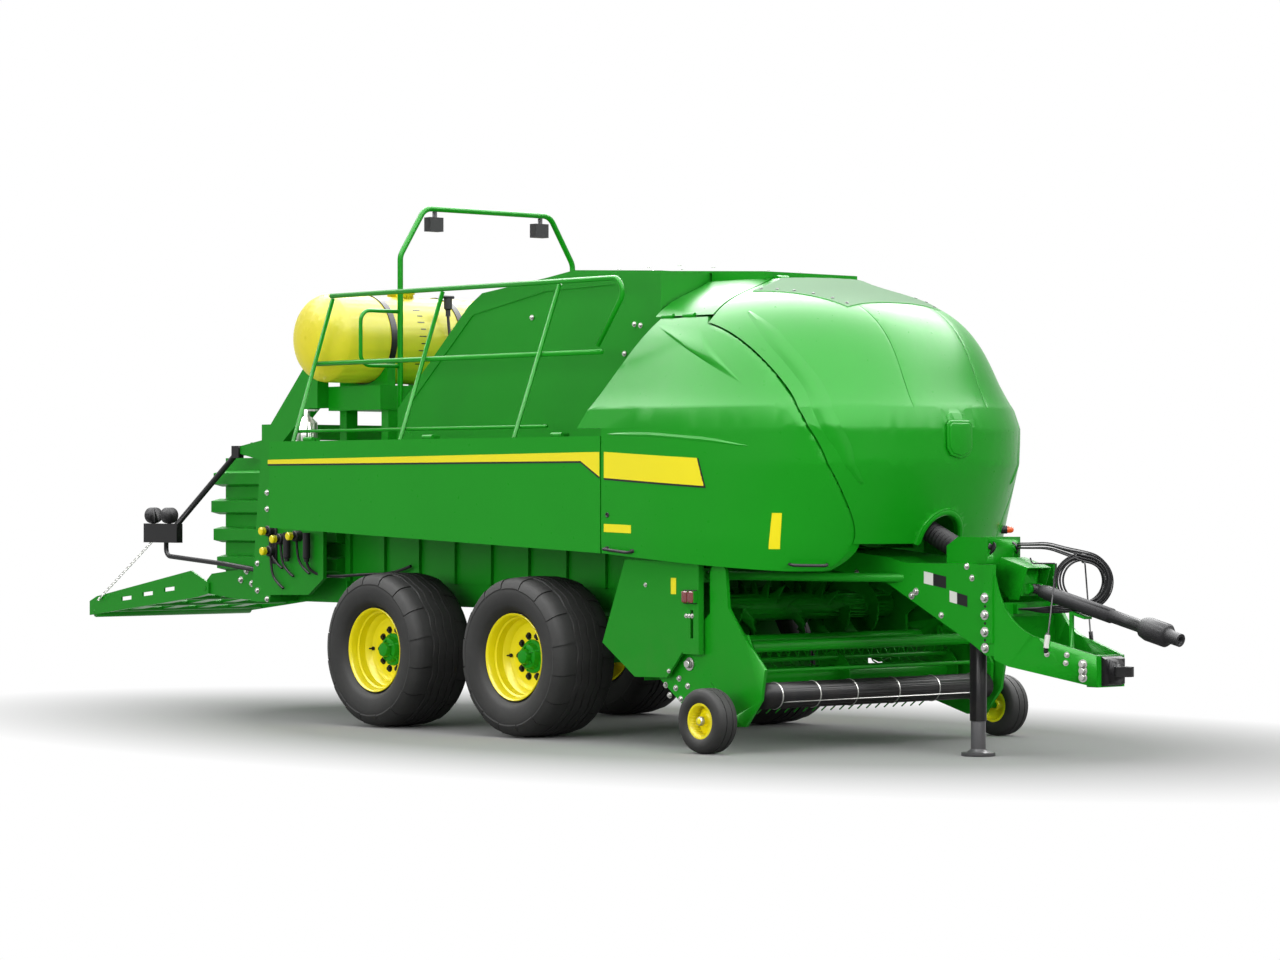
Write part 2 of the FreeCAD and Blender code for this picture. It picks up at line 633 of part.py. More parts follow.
def skin():
    full = nose_body(0.0)
    nose = full.cut(nose_body(SKIN_T))
    wide = SKIN_Y + 50
    roof_outline = [(1020.0, NOSE_TOP + 10), (1020.0, 2755.0), (1550.0, 2755.0), (1550.0, NOSE_TOP + 10)]
    roof = nose.common(side_plate(roof_outline, -wide, wide))
    # front wing doors, behind the curved seam
    corners = [WING_FRONT, (DOOR_SEAM_X, DOOR_LOW_SEAM), (DOOR_SEAM_X, DOOR_TOP + 50),
               (NOSE_BACK - 1, DOOR_TOP + 50), (1090.0, SEAM_TOP[1]), SEAM_TOP, SEAM[0]]
    for side, s in SIDES:
        y0, y1 = sorted((s * 300, s * wide))
        wing = nose.common(swept_plate(corners, SEAM[1:-1], y0, y1))
        roof, wing = hinge_line(roof, wing, (0, s * WING_PIVOT_Y, WING_PIVOT_Z), X_AXIS, (1140.0, 1340.0),
                                barrel_r=18.0)
        save("wing_door_" + side, wing)
    # hood in front of the seam
    ahead = [(x + GAP, z + GAP) for x, z in SEAM]
    far = NOSE_LEVELS[2][1] + 100
    corners = [ahead[-1], (far, ahead[-1][1]), (far, NOSE_TOP + 10), (1565.0, NOSE_TOP + 10),
               (1565.0, 2700.0), ahead[0]]
    hood = nose.common(swept_plate(corners, ahead[1:-1], -wide, wide))
    hood = hood.cut(box(NOSE_BACK, far, -wide, wide, NOSE_LOW - 20, HOOD_LOW_Z))
    # arch for the driveline, with its raised lip
    arch_z = HOOD_LOW_Z + 10
    arch = join(rod((2300, 0, arch_z), (far, 0, arch_z), HOOD_ARCH_R),
                box(2300, far, -HOOD_ARCH_R, HOOD_ARCH_R, NOSE_LOW, arch_z))
    band = join(rod((2300, 0, arch_z), (far, 0, arch_z), HOOD_ARCH_R + 35),
                box(2300, far, -HOOD_ARCH_R - 35, HOOD_ARCH_R + 35, HOOD_LOW_Z, arch_z))
    lip = nose_body(-22.0).cut(nose_body(SKIN_T)).common(band)
    lip = lip.cut(box(2300, far, -wide, wide, NOSE_LOW - 30, HOOD_LOW_Z))
    hood = hood.fuse(lip).cut(arch)
    # seams of the hood's centre panel
    scored = full.cut(nose_body(4.0))
    for s in (-1, 1):
        y0, y1 = sorted((s * CENTRE_SEAM_Y, s * (CENTRE_SEAM_Y + 6)))
        hood = hood.cut(scored.common(box(1900, far, y0, y1, NOSE_CREASE, NOSE_TOP)))
    # pad for a badge
    pad = nose_body(-10.0).cut(nose_body(2.0))
    hood = hood.fuse(pad.common(rounded_pad(far)))
    roof, hood = hinge_line(roof, hood, (HOOD_PIVOT_X, 0, HOOD_PIVOT_Z), Y_AXIS, (-300.0, 300.0))
    save("hood", hood)
    # raised sheet that closes the top between the cover and the hood
    sheet = side_plate([(1020, NOSE_TOP), (1525, NOSE_TOP), (1525, 3049), (140, 3112), (140, 3100),
                        (COVER_FRONT, 3060), (1020, 3060)], -420, 420)
    save("roof", join(roof, sheet))


def rounded_pad(far):
    """A block with a rounded outline seen from the front, for the badge's place."""
    half_w, half_h, middle, corner = 85.0, 110.0, 2010.0, 40.0
    points = [V(2500, y, middle + z) for y, z in ((-half_w, -half_h), (half_w, -half_h),
                                                  (half_w, half_h), (-half_w, half_h))]
    face = Part.Face(Part.makePolygon(points + [points[0]]))
    return face.makeOffset2D(-corner).makeOffset2D(corner).extrude(V(far - 2500, 0, 0))


def platform():
    """The walkway on top, with the long side doors hinged to its edges."""
    deck = box(DECK_REAR, CHAMBER_FRONT, -DECK_Y, DECK_Y, DECK_Z, DECK_TOP)
    tray = box(EXTINGUISHER[0] - 100, EXTINGUISHER[0] + 100, EXTINGUISHER[1] - 100, EXTINGUISHER[1] + 100,
               DECK_Z, DECK_TOP)
    deck = join(deck, tray)
    for s in (-1, 1):
        y_in, y_out = SKIN_Y - SKIN_T, SKIN_Y
        outline = [(DOOR_REAR_X, DOOR_LOW_REAR), (DOOR_SEAM_X - GAP, DOOR_LOW_SEAM),
                   (DOOR_SEAM_X - GAP, DOOR_TOP), (DOOR_REAR_X, DOOR_TOP)]
        door = side_plate(outline, *sorted((s * y_in, s * y_out)))
        # hem along the lower edge and a flange down the rear edge, turned inwards
        hem = side_plate([(DOOR_REAR_X, DOOR_LOW_REAR), (DOOR_SEAM_X - GAP, DOOR_LOW_SEAM),
                          (DOOR_SEAM_X - GAP, DOOR_LOW_SEAM + 12), (DOOR_REAR_X, DOOR_LOW_REAR + 12)],
                         *sorted((s * (y_in - 40), s * y_in)))
        flange = box(DOOR_REAR_X, DOOR_REAR_X + 12, *sorted((s * (y_in - 40), s * y_in)),
                     DOOR_LOW_REAR, DOOR_TOP - 50)
        door = join(door, hem, flange)

        def web(start, end, moves, s=s):
            if moves:
                y0, y1 = sorted((s * (SKIN_Y - SKIN_T + 4), s * (SKIN_Y - 4)))
                return box(start, end, y0, y1, DOOR_TOP - 10, DOOR_PIVOT_Z)
            y0, y1, y2 = DECK_Y - 40, DECK_Y - 5, DOOR_PIVOT_Y
            upright = box(start, end, *sorted((s * y0, s * y1)), DECK_TOP - 1, DOOR_PIVOT_Z + 10)
            flat = box(start, end, *sorted((s * y1, s * y2)), DOOR_PIVOT_Z - 4, DOOR_PIVOT_Z + 10)
            return upright.fuse(flat)

        deck, door = hinge_line(deck, door, (0, s * DOOR_PIVOT_Y, DOOR_PIVOT_Z), X_AXIS,
                                (-2250.0, -900.0, 450.0), web)
        save("side_door_" + ("right" if s < 0 else "left"), door)
    save("platform", deck)


def upper_cover():
    outline = [(COVER_REAR, DECK_TOP), (COVER_REAR, 2210), (-980, 2900), (-830, 2985), (-160, 3060),
               (140, 3100), (COVER_FRONT, 3060), (COVER_FRONT, DECK_TOP)]
    inside = [(COVER_REAR + 30, DECK_TOP - 1), (COVER_REAR + 30, 2196), (-960, 2876), (-820, 2957),
              (-158, 3031), (138, 3070), (COVER_FRONT - 30, 3030), (COVER_FRONT - 30, DECK_TOP - 1)]
    cover = side_plate(outline, -COVER_Y, COVER_Y).cut(side_plate(inside, -COVER_Y + 30, COVER_Y - 30))
    # each side has a panel set a little deeper, with rounded corners
    panel = [(COVER_REAR + 90, DECK_TOP + 60), (COVER_REAR + 90, 2200), (-930, 2840), (-160, 2970),
             (560, 2990), (760, 2700), (760, DECK_TOP + 60)]
    for s in (-1, 1):
        y0, y1 = sorted((s * (COVER_Y - 7), s * (COVER_Y + 1)))
        cover = cover.cut(rounded_plate(panel, y0, y1, 70.0))
    save("upper_cover", cover)


def handrails():
    slope = POST_LEAN / (RAIL_TOP_Z - DECK_TOP)
    top = RAIL_TOP_Z - RAIL_TUBE_R - SEAT
    posts, rails = [], []
    for _, s in SIDES:
        y = s * RAIL_PLANE_Y
        for x in POSTS_X:
            post = rod((x - 20 * slope, y, DECK_TOP - 20), (x + slope * (top - DECK_TOP), y, top), POST_R)
            post = post.common(box(x - 200, x + 900, y - 60, y + 60, DECK_TOP, top))
            foot = box(x - 50, x + 70, y - 25, y + 24, DECK_TOP, DECK_TOP + 8)
            posts.append(post.fuse(foot).removeSplitter())
        rear_top = POSTS_X[0] + POST_LEAN - 30
        rails.append(bent_tube([(rear_top, y, RAIL_TOP_Z), (1130, y, RAIL_TOP_Z),
                                (800, y, RAIL_MID_Z + 40)], RAIL_TUBE_R, 90))
        inboard = y - s * (RAIL_TUBE_R + POST_R + SEAT)
        rear_mid = POSTS_X[0] + slope * (RAIL_MID_Z - DECK_TOP) - 40
        rails.append(rod((rear_mid, inboard, RAIL_MID_Z), (800, inboard, RAIL_MID_Z), RAIL_TUBE_R))
        rear_toe = POSTS_X[0] + slope * (RAIL_TOE_Z - DECK_TOP) - 20
        inboard = y - s * (TOE_R + POST_R + SEAT)
        rails.append(rod((rear_toe, inboard, RAIL_TOE_Z), (260, inboard, RAIL_TOE_Z), TOE_R))
    save("rail_posts", Part.makeCompound(posts))
    # D-shaped gates between the lamp hoop's legs and the rails
    leg = HOOP_LEG_Y + HOOP_TUBE_R + SEAT
    out = RAIL_PLANE_Y - RAIL_TUBE_R * 2 - POST_R - GATE_TUBE_R - 6
    low, high = RAIL_MID_Z - 20, RAIL_TOP_Z - 105
    gate = bent_tube([(HOOP_X, leg, high), (HOOP_X, out, high), (HOOP_X, out, low), (HOOP_X, leg, low)],
                     GATE_TUBE_R, 80)
    save("handrails", Part.makeCompound(rails + [gate, mirror(gate)]))


def tank():
    count = 9
    dome = []
    for i in range(count - 1):
        angle = math.pi / 2 * i / (count - 1)
        dome.append((TANK_END_Y + TANK_DOME * math.sin(angle), TANK_R * math.cos(angle)))
    dome.append((TANK_END_Y + TANK_DOME, 0))
    profile = [(-d, r) for d, r in reversed(dome)] + dome
    body = turned(profile, TANK_X, 0, TANK_Z)
    neck_y = -330.0
    neck = Part.makeCylinder(95, 45, V(TANK_X, neck_y, TANK_Z + TANK_R - 25))
    lid = Part.makeCylinder(105, 30, V(TANK_X, neck_y, TANK_Z + TANK_R + 20))
    seat = rod((TANK_X, neck_y - 110, TANK_Z), (TANK_X, neck_y + 110, TANK_Z), TANK_R + SEAT)
    save("tank", Part.makeCompound([body, neck.fuse(lid).cut(seat)]))
    straps, saddles = [], []
    inner = TANK_R + SEAT
    outer = inner + STRAP_T
    reach = TANK_R * 0.89
    beam_top = TANK_Z - TANK_R - 20
    for y in STRAPS_Y:
        straps.append(pipe((TANK_X, y - STRAP_W / 2, TANK_Z), (TANK_X, y + STRAP_W / 2, TANK_Z),
                           outer, inner))
        saddle = box(TANK_X - reach, TANK_X + reach, y - 35, y + 35, beam_top - 10, TANK_Z - 130)
        saddle = saddle.cut(rod((TANK_X, y - 40, TANK_Z), (TANK_X, y + 40, TANK_Z), outer + SEAT))
        legs = [box(x, x + 80, y - 50, y + 50, DECK_TOP, 2215) for x in (TANK_X - 260, TANK_X + 230)]
        saddles += [saddle] + legs
    beam = box(TANK_X - 290, TANK_X + 320, -PORTAL_Y, PORTAL_Y, 2210, beam_top)
    save("tank_straps", Part.makeCompound(straps))
    save("tank_cradle", join(beam, *saddles))


def extinguisher():
    x, y = EXTINGUISHER
    body = Part.makeCylinder(75, 150, V(x, y, DECK_TOP))
    dome = Part.makeCone(75, 28, 45, V(x, y, DECK_TOP + 150))
    head = Part.makeCylinder(22, 50, V(x, y, DECK_TOP + 195))
    lever = box(x - 10, x + 110, y - 12, y + 12, DECK_TOP + 232, DECK_TOP + 245)
    save("extinguisher", join(body, dome, head, lever))


def hoop():
    y0, y1 = HOOP_LEG_Y, HOOP_TOP_Y
    points = [(HOOP_X, -y0, DECK_TOP), (HOOP_X, -y0, HOOP_BEND_Z), (HOOP_X, -y1, HOOP_TOP_Z),
              (HOOP_X, y1, HOOP_TOP_Z), (HOOP_X, y0, HOOP_BEND_Z), (HOOP_X, y0, DECK_TOP)]
    save("lamp_hoop", bent_tube(points, HOOP_TUBE_R, 110))
    lamps = []
    for y in (-HOOP_TOP_Y + 90, HOOP_TOP_Y - 90):
        top = HOOP_TOP_Z - HOOP_TUBE_R - SEAT
        stem = box(HOOP_X - 12, HOOP_X + 12, y - 12, y + 12, top - 40, top)
        lamps.append(stem.fuse(box(HOOP_X - 45, HOOP_X + 25, y - 60, y + 60, top - 140, top - 40)))
    return lamps


# ---- front frame, feeder and pickup ------------------------------------------
def front_frame():
    """Cheeks that carry the gearbox, the roof and the drawbar in front of the chamber."""
    inner, outer = CHAMBER_Y - RAIL_W, CHAMBER_Y
    cheek = side_plate([(620, RAIL_TOP), (980, RAIL_TOP), (1040, NOSE_LOW), (BEAM_REAR, NOSE_LOW),
                        (BEAM_REAR, 1500), (1300, 1900), (1160, 2300), (1160, 2860), (1060, 2860),
                        (1060, 1800), (620, 1400)], inner, outer)
    arm = box(1040, 1140, outer, FEEDER_Y - FEEDER_T, NOSE_LOW, 1230)
    side = join(cheek, arm)
    top = box(1060, 1160, -inner, inner, 2800, 2860)
    riser = box(1080, 1140, -300, 300, 2860, NOSE_TOP - SKIN_T)
    nose = box(BEAM_REAR - 100, BEAM_REAR, -inner, inner, NOSE_LOW, 1260)
    save("front_frame", join(side, mirror(side), top, riser, nose))
    case = box(1200, 1840, -380, 380, 1290, 1890)
    feet = [box(x, x + 100, -inner, inner, 1290, 1390) for x in (1250, 1650)]
    hub = rod((1840, 0, FLYWHEEL_Z), (2120, 0, FLYWHEEL_Z), 90)
    flywheel = rod((1930, 0, FLYWHEEL_Z), (2050, 0, FLYWHEEL_Z), FLYWHEEL_R)
    rim = pipe((1900, 0, FLYWHEEL_Z), (2080, 0, FLYWHEEL_Z), FLYWHEEL_R, FLYWHEEL_R - 50)
    line = rod((2100, 0, FLYWHEEL_Z), (GEARBOX_REAR + 20, 0, BEAM_TOP + 53), 45)
    line = line.common(box(2100, GEARBOX_REAR, -60, 60, BEAM_TOP, FLYWHEEL_Z + 60))
    save("main_gearbox", join(case, *feet, hub, flywheel, rim, line))


def flight(start, length, core, radius, thickness):
    """A screw's blade round a core along the y direction."""
    helix = Part.makeHelix(FLIGHT_PITCH, length, core)
    blade = Part.makePolygon([V(core - 6, 0, 0), V(radius, 0, 0), V(radius, 0, thickness),
                              V(core - 6, 0, thickness), V(core - 6, 0, 0)])
    solid = Part.Wire(helix.Edges).makePipeShell([blade], True, True)
    solid.rotate(V(0, 0, 0), X_AXIS, -90)
    solid.translate(V(ROTOR_X, start, ROTOR_Z))
    return solid


def feeder():
    """Side plates and trough round the feed rotor, with the covers, posts and braces outside them."""
    inner = FEEDER_Y - FEEDER_T
    plate = side_plate([(960, 520), (1120, 470), (1330, 545), (1380, 620), (1375, 800), (1450, 850),
                        (1580, 900), (1580, 1130), (1500, 1230), (960, 1230)], inner, FEEDER_Y)
    plate = plate.cut(rod((ROTOR_X, inner - 40, ROTOR_Z), (ROTOR_X, FEEDER_Y + 60, ROTOR_Z),
                          ROTOR_SHAFT_R + RUN))
    pin = rod((PICKUP_PIVOT_X, FEEDER_Y, PICKUP_PIVOT_Z), (PICKUP_PIVOT_X, PICKUP_Y + 3, PICKUP_PIVOT_Z),
              PICKUP_PIN_R)
    cover_y = PICKUP_Y + 35
    cover = side_plate([(1040, 1190), (1545, 1180), (1545, 620), (1390, 445), (1085, 440), (770, 650),
                        (990, 1190)], cover_y, cover_y + FEEDER_T)
    spacers = [box(985, 1045, FEEDER_Y, cover_y, z, z + 60) for z in (560.0, 1120.0)]
    # slotted post in front of the cover, with the tail lamp's housing
    post = box(1540, 1690, cover_y - 23, cover_y + FEEDER_T, 600, 1195)
    post = post.cut(box(1565, 1665, cover_y - 24, cover_y + FEEDER_T - 14, 599, 1196))
    post = post.cut(box(1612, 1638, cover_y - 24, cover_y + FEEDER_T + 1, 700, 880))
    housing = box(1600, 1680, cover_y + FEEDER_T, cover_y + FEEDER_T + 30, 925, 1000)
    # brace from the feeder's side forward to the drawbar beam
    brace = rod((1570, inner - 40, 1095), (2620, BEAM_Y - 20, 1085), 28)
    brace = brace.common(box(1500, 2700, BEAM_Y, FEEDER_Y, 1000, 1200))
    lug = box(1500, 1590, inner - 60, inner, 1050, 1135)
    side = join(plate, pin, cover, *spacers, post, housing, brace, lug)
    trough = rod((ROTOR_X, -inner, ROTOR_Z), (ROTOR_X, inner, ROTOR_Z), ROTOR_R + 45)
    trough = trough.cut(rod((ROTOR_X, -FEEDER_Y, ROTOR_Z), (ROTOR_X, FEEDER_Y, ROTOR_Z), ROTOR_R + 30))
    trough = trough.common(side_plate([(ROTOR_X, ROTOR_Z), (1000, 560), (1120, 500), (1400, 560)],
                                      -FEEDER_Y, FEEDER_Y))
    save("feeder_frame", join(side, mirror(side), trough))
    end = inner - 20
    rotor = join(cross_rod(ROTOR_X, ROTOR_Z, FEEDER_Y + 10, ROTOR_SHAFT_R),
                 cross_rod(ROTOR_X, ROTOR_Z, end, ROTOR_CORE_R))
    # packer stars between the two screws
    stars = 16
    pitch = 2 * (ROTOR_HALF - 20) / (stars - 1)
    for i in range(stars):
        y = -ROTOR_HALF + 20 + pitch * i
        star = side_plate([(ROTOR_X - ROTOR_R, ROTOR_Z - 12), (ROTOR_X - 60, ROTOR_Z - 45),
                           (ROTOR_X + 60, ROTOR_Z - 45), (ROTOR_X + ROTOR_R, ROTOR_Z + 12),
                           (ROTOR_X + 60, ROTOR_Z + 45), (ROTOR_X - 60, ROTOR_Z + 45)], y - 6, y + 6)
        star.rotate(V(ROTOR_X, 0, ROTOR_Z), Y_AXIS, 24 * i)
        rotor = rotor.fuse(star)
    screw = flight(ROTOR_HALF + 10, end - ROTOR_HALF - 30, ROTOR_CORE_R, ROTOR_R - 20, 8.0)
    save("feed_rotor", rotor.fuse([screw, mirror(screw)]).removeSplitter())


def pickup():
    inner = PICKUP_Y - PICKUP_T
    plate = side_plate([(1080, 600), (1110, 720), (1300, 740), (1640, 780), (1735, 860), (1735, 1120),
                        (1765, 1170), (1850, 1170), (1880, 1130), (1900, 900), (2060, 700), (2235, 520),
                        (2200, 330), (2060, 160), (1900, 150), (1500, 260), (1200, 480)], inner, PICKUP_Y)
    plate = plate.cut(rod((PICKUP_PIVOT_X, inner - 40, PICKUP_PIVOT_Z),
                          (PICKUP_PIVOT_X, PICKUP_Y + 40, PICKUP_PIVOT_Z), PICKUP_PIN_R + RUN))
    plate = plate.cut(rod((REEL_X, inner - 40, REEL_Z), (REEL_X, PICKUP_Y + 40, REEL_Z), REEL_SHAFT_R + RUN))
    spindle = rod((GAUGE_X, PICKUP_Y, GAUGE_R), (GAUGE_X, GAUGE_Y + 30, GAUGE_R), GAUGE_SPINDLE_R)
    guard_pin = rod((GUARD_PIVOT_X, inner - 45, GUARD_PIVOT_Z), (GUARD_PIVOT_X, inner, GUARD_PIVOT_Z),
                    GUARD_PIN_R)
    side = join(plate, spindle, guard_pin)
    cross = cross_rod(1450, 660, inner, 40)
    save("pickup_frame", join(side, mirror(side), cross))
    # reel of bars with bent tines
    end = inner - 60
    discs = [rod((REEL_X, y - 5, REEL_Z), (REEL_X, y + 5, REEL_Z), 150) for y in (-end + 10, 0, end - 10)]
    reel = join(cross_rod(REEL_X, REEL_Z, PICKUP_Y, REEL_SHAFT_R),
                cross_rod(REEL_X, REEL_Z, end, REEL_CORE_R), *discs)
    pitch = (2 * end - 120) / (TINES - 1)
    bar_r = 122.0
    tip = REEL_R
    bent = [(REEL_X + bar_r - 6, REEL_Z - 5), (REEL_X + 188, REEL_Z - 6), (REEL_X + tip - 12, REEL_Z - 68),
            (REEL_X + tip - 8, REEL_Z - 62), (REEL_X + 190, REEL_Z + 2), (REEL_X + bar_r - 6, REEL_Z + 5)]
    for k in range(TINE_BARS):
        bar = rod((REEL_X + bar_r, -end + 5, REEL_Z), (REEL_X + bar_r, end - 5, REEL_Z), 15)
        tines = [side_plate(bent, y - 3.5, y + 3.5) for y in (-end + 60 + pitch * i for i in range(TINES))]
        row = bar.fuse(tines)
        row.rotate(V(REEL_X, 0, REEL_Z), Y_AXIS, 360.0 / TINE_BARS * k + 20)
        reel = reel.fuse(row)
    save("pickup_reel", reel.removeSplitter())
    crop_guard(inner)
    for side_name, s in SIDES:
        save("gauge_tyre_" + side_name, tyre(GAUGE_X, s * GAUGE_Y, GAUGE_R, GAUGE_R, GAUGE_W,
                                             GAUGE_SEAT_R, GAUGE_SEAT_R + 8, GAUGE_W - 20))
        save("gauge_wheel_" + side_name, wheel(GAUGE_X, s * GAUGE_Y, GAUGE_R, s, GAUGE_SEAT_R,
                                               GAUGE_SEAT_R + 8, GAUGE_W - 30, 36, GAUGE_SPINDLE_R, -20, 50))


def crop_guard(inner):
    """Two arms hung inside the pickup's plates, with a cross tube and the crop roller."""
    y0, y1 = inner - 45, inner - 20
    arm = side_plate([(GUARD_PIVOT_X - 30, GUARD_PIVOT_Z + 30), (GUARD_PIVOT_X - 30, GUARD_PIVOT_Z - 30),
                      (1960, 640), (2080, 450), (ROLLER_X - 30, ROLLER_Z - 30),
                      (ROLLER_X + 40, ROLLER_Z - 20),
                      (ROLLER_X + 50, 500), (2020, 730)], y0, y1)
    for x, z, r in ((GUARD_PIVOT_X, GUARD_PIVOT_Z, GUARD_PIN_R), (ROLLER_X, ROLLER_Z, GUARD_PIN_R)):
        arm = arm.cut(rod((x, y0 - 40, z), (x, y1 + 40, z), r + RUN))
    tube = cross_rod(2010, 655, y0 + 5, 38)
    rail = cross_rod(2100, 505, y0 + 5, 12)
    save("crop_guard", join(arm, mirror(arm), tube, rail))
    roller = cross_rod(ROLLER_X, ROLLER_Z, y0 - 15, ROLLER_R)
    save("guard_roller", join(roller, cross_rod(ROLLER_X, ROLLER_Z, y1, GUARD_PIN_R)))


# ---- drawbar and driveline ---------------------------------------------------
def output_fork():
    """The gearbox's fork that the telescopic shaft to the tractor hangs from."""
    x, z = PTO_PIVOT_X, PTO_PIVOT_Z
    ear = side_plate([(x - 50, z - 30), (x - 50, z + 30), (x + 8, z + 30), (x + 25, z + 14),
                      (x + 25, z - 14), (x + 8, z - 30)], -60, -36)
    return join(ear, mirror(ear), rod((x, -60, z), (x, 60, z), PTO_PIN_R))


def shaft_drop(x):
    """Height of the drive shaft's axis at a place along the machine."""
    return PTO_PIVOT_Z - (x - PTO_PIVOT_X) * math.tan(PTO_TILT)


def drive_shaft():
    length = math.hypot(PTO_PIVOT_Z - PTO_TIP_Z, PTO_TIP_X - PTO_PIVOT_X)
    tongue = join(rod((0, 0, 0), (90, 0, 0), 30), rod((0, -34, 0), (0, 34, 0), 28))
    tongue = tongue.cut(rod((0, -60, 0), (0, 60, 0), PTO_PIN_R + RUN))
    # guard tubes, clutch cone and end yoke, as (along, radius)
    outline = [(60, 0), (60, PTO_TUBE_R - 8), (110, PTO_TUBE_R), (640, PTO_TUBE_R), (640, PTO_TUBE_R - 6),
               (length - 300, PTO_TUBE_R - 6), (length - 290, 62), (length - 250, 72), (length - 110, 72),
               (length - 95, 60), (length - 95, PTO_END_R + 8), (length - 60, PTO_END_R),
               (length, PTO_END_R),
               (length, 0)]
    points = [V(x, 0, r) for x, r in outline]
    body = Part.Face(Part.makePolygon(points + [points[0]])).revolve(V(0, 0, 0), X_AXIS, 360)
    shaft = join(tongue, body).cut(rod((length - PTO_BORE_L, 0, 0), (length + 5, 0, 0), PTO_BORE_R))
    shaft.rotate(V(0, 0, 0), Y_AXIS, math.degrees(PTO_TILT))
    shaft.translate(V(PTO_PIVOT_X, 0, PTO_PIVOT_Z))
    save("drive_shaft", shaft)


def drawbar():
    y0 = BEAM_Y - BEAM_T
    rear_top = 1260.0
    plate = side_plate([(BEAM_REAR, NOSE_LOW), (2450, 1070), (3200, 700), (3340, 620), (BEAM_FRONT, 620),
                        (BEAM_FRONT, BEAM_TOP), (2650, BEAM_TOP), (2500, 1215), (BEAM_REAR, rear_top)],
                       y0, BEAM_Y)
    lid = side_plate([(BEAM_REAR, rear_top - 20), (2500, 1195), (2650, BEAM_TOP - 20), (3140, BEAM_TOP - 20),
                      (3140, BEAM_TOP), (2650, BEAM_TOP), (2500, 1215), (BEAM_REAR, rear_top)], -y0, y0)
    floor = side_plate([(2450, 1070), (2458, 1086), (3058, 790), (3050, 774)], -y0, y0)
    end = box(BEAM_FRONT - 30, BEAM_FRONT, -y0, y0, 640, 945)
    back = box(BEAM_REAR, BEAM_REAR + 30, -y0, y0, NOSE_LOW, rear_top - 20)
    # joint plates where the hitch bolts on
    strap = box(BEAM_FRONT - 75, BEAM_FRONT, BEAM_Y, BEAM_Y + 14, 700, BEAM_TOP)
    save("drawbar_beam", join(plate, mirror(plate), lid, floor, end, back, strap, mirror(strap)))
    hitch()
    gearbox_and_guard()
    jack(y0)


def hitch():
    """Converging curved arms bolted to the beam, the coupling's head and the drive shaft's stand."""
    tip = HITCH_TIP_X - 160
    thick = BEAM_T + 5
    turn = math.degrees(math.atan2(BEAM_Y - thick - 100, tip - BEAM_FRONT))
    corners = [(BEAM_FRONT, 1140), (BEAM_FRONT, 600), (BEAM_FRONT + 100, 560), (tip + 10, 450),
               (tip + 10, 640),
               (BEAM_FRONT + 330, 735)]
    curve = [(BEAM_FRONT + 200, 785), (BEAM_FRONT + 110, 865), (BEAM_FRONT + 50, 960)]
    arm = swept_plate(corners, curve, -BEAM_Y, -BEAM_Y + thick)
    arm.rotate(V(BEAM_FRONT, -BEAM_Y, 0), Z_AXIS, turn)
    arm = arm.common(box(BEAM_FRONT, tip, -BEAM_Y - 100, 0, 300, 1300))
    head = box(tip - 90, tip, -120, 120, 450, 640)
    stand_x = 3805.0
    cross = box(stand_x - 25, stand_x + 25, -BEAM_Y * 0.66, BEAM_Y * 0.66, 600, 650)
    web = box(BEAM_FRONT, BEAM_FRONT + 20, -BEAM_Y + 20, BEAM_Y - 20, 640, 860)
    under = shaft_drop(stand_x) - PTO_TUBE_R / math.cos(PTO_TILT) - 6
    stand = join(box(stand_x - 12, stand_x + 12, -35, -15, 645, under),
                 side_plate([(stand_x - 12, under - 14), (stand_x + 110, under - 44),
                             (stand_x + 110, under - 28),
                             (stand_x + 12, under)], -35, 35))
    arms = join(arm, mirror(arm), head, cross, web, stand)
    save("hitch_arms", arms)
    hose_hooks(arms)
    block = side_plate([(tip, 455), (tip, 635), (tip + 30, 620), (tip + 62, HITCH_Z + 44),
                        (tip + 62, HITCH_Z - 44), (tip + 30, 470)], -90, 90)
    flank = box(tip + 30, tip + 70, 48, 100, 400, 700)
    block = block.cut(flank).cut(mirror(flank))
    eye_x = HITCH_TIP_X - EYE_OUT
    neck = rod((tip + 40, 0, HITCH_Z), (eye_x - 35, 0, HITCH_Z), 42)
    eye = Part.makeCylinder(EYE_OUT, EYE_H, V(eye_x, 0, HITCH_Z - EYE_H / 2))
    coupling = join(block, neck, eye)
    save("hitch_eye", coupling.cut(Part.makeCylinder(EYE_R, 200, V(eye_x, 0, HITCH_Z - 100))))


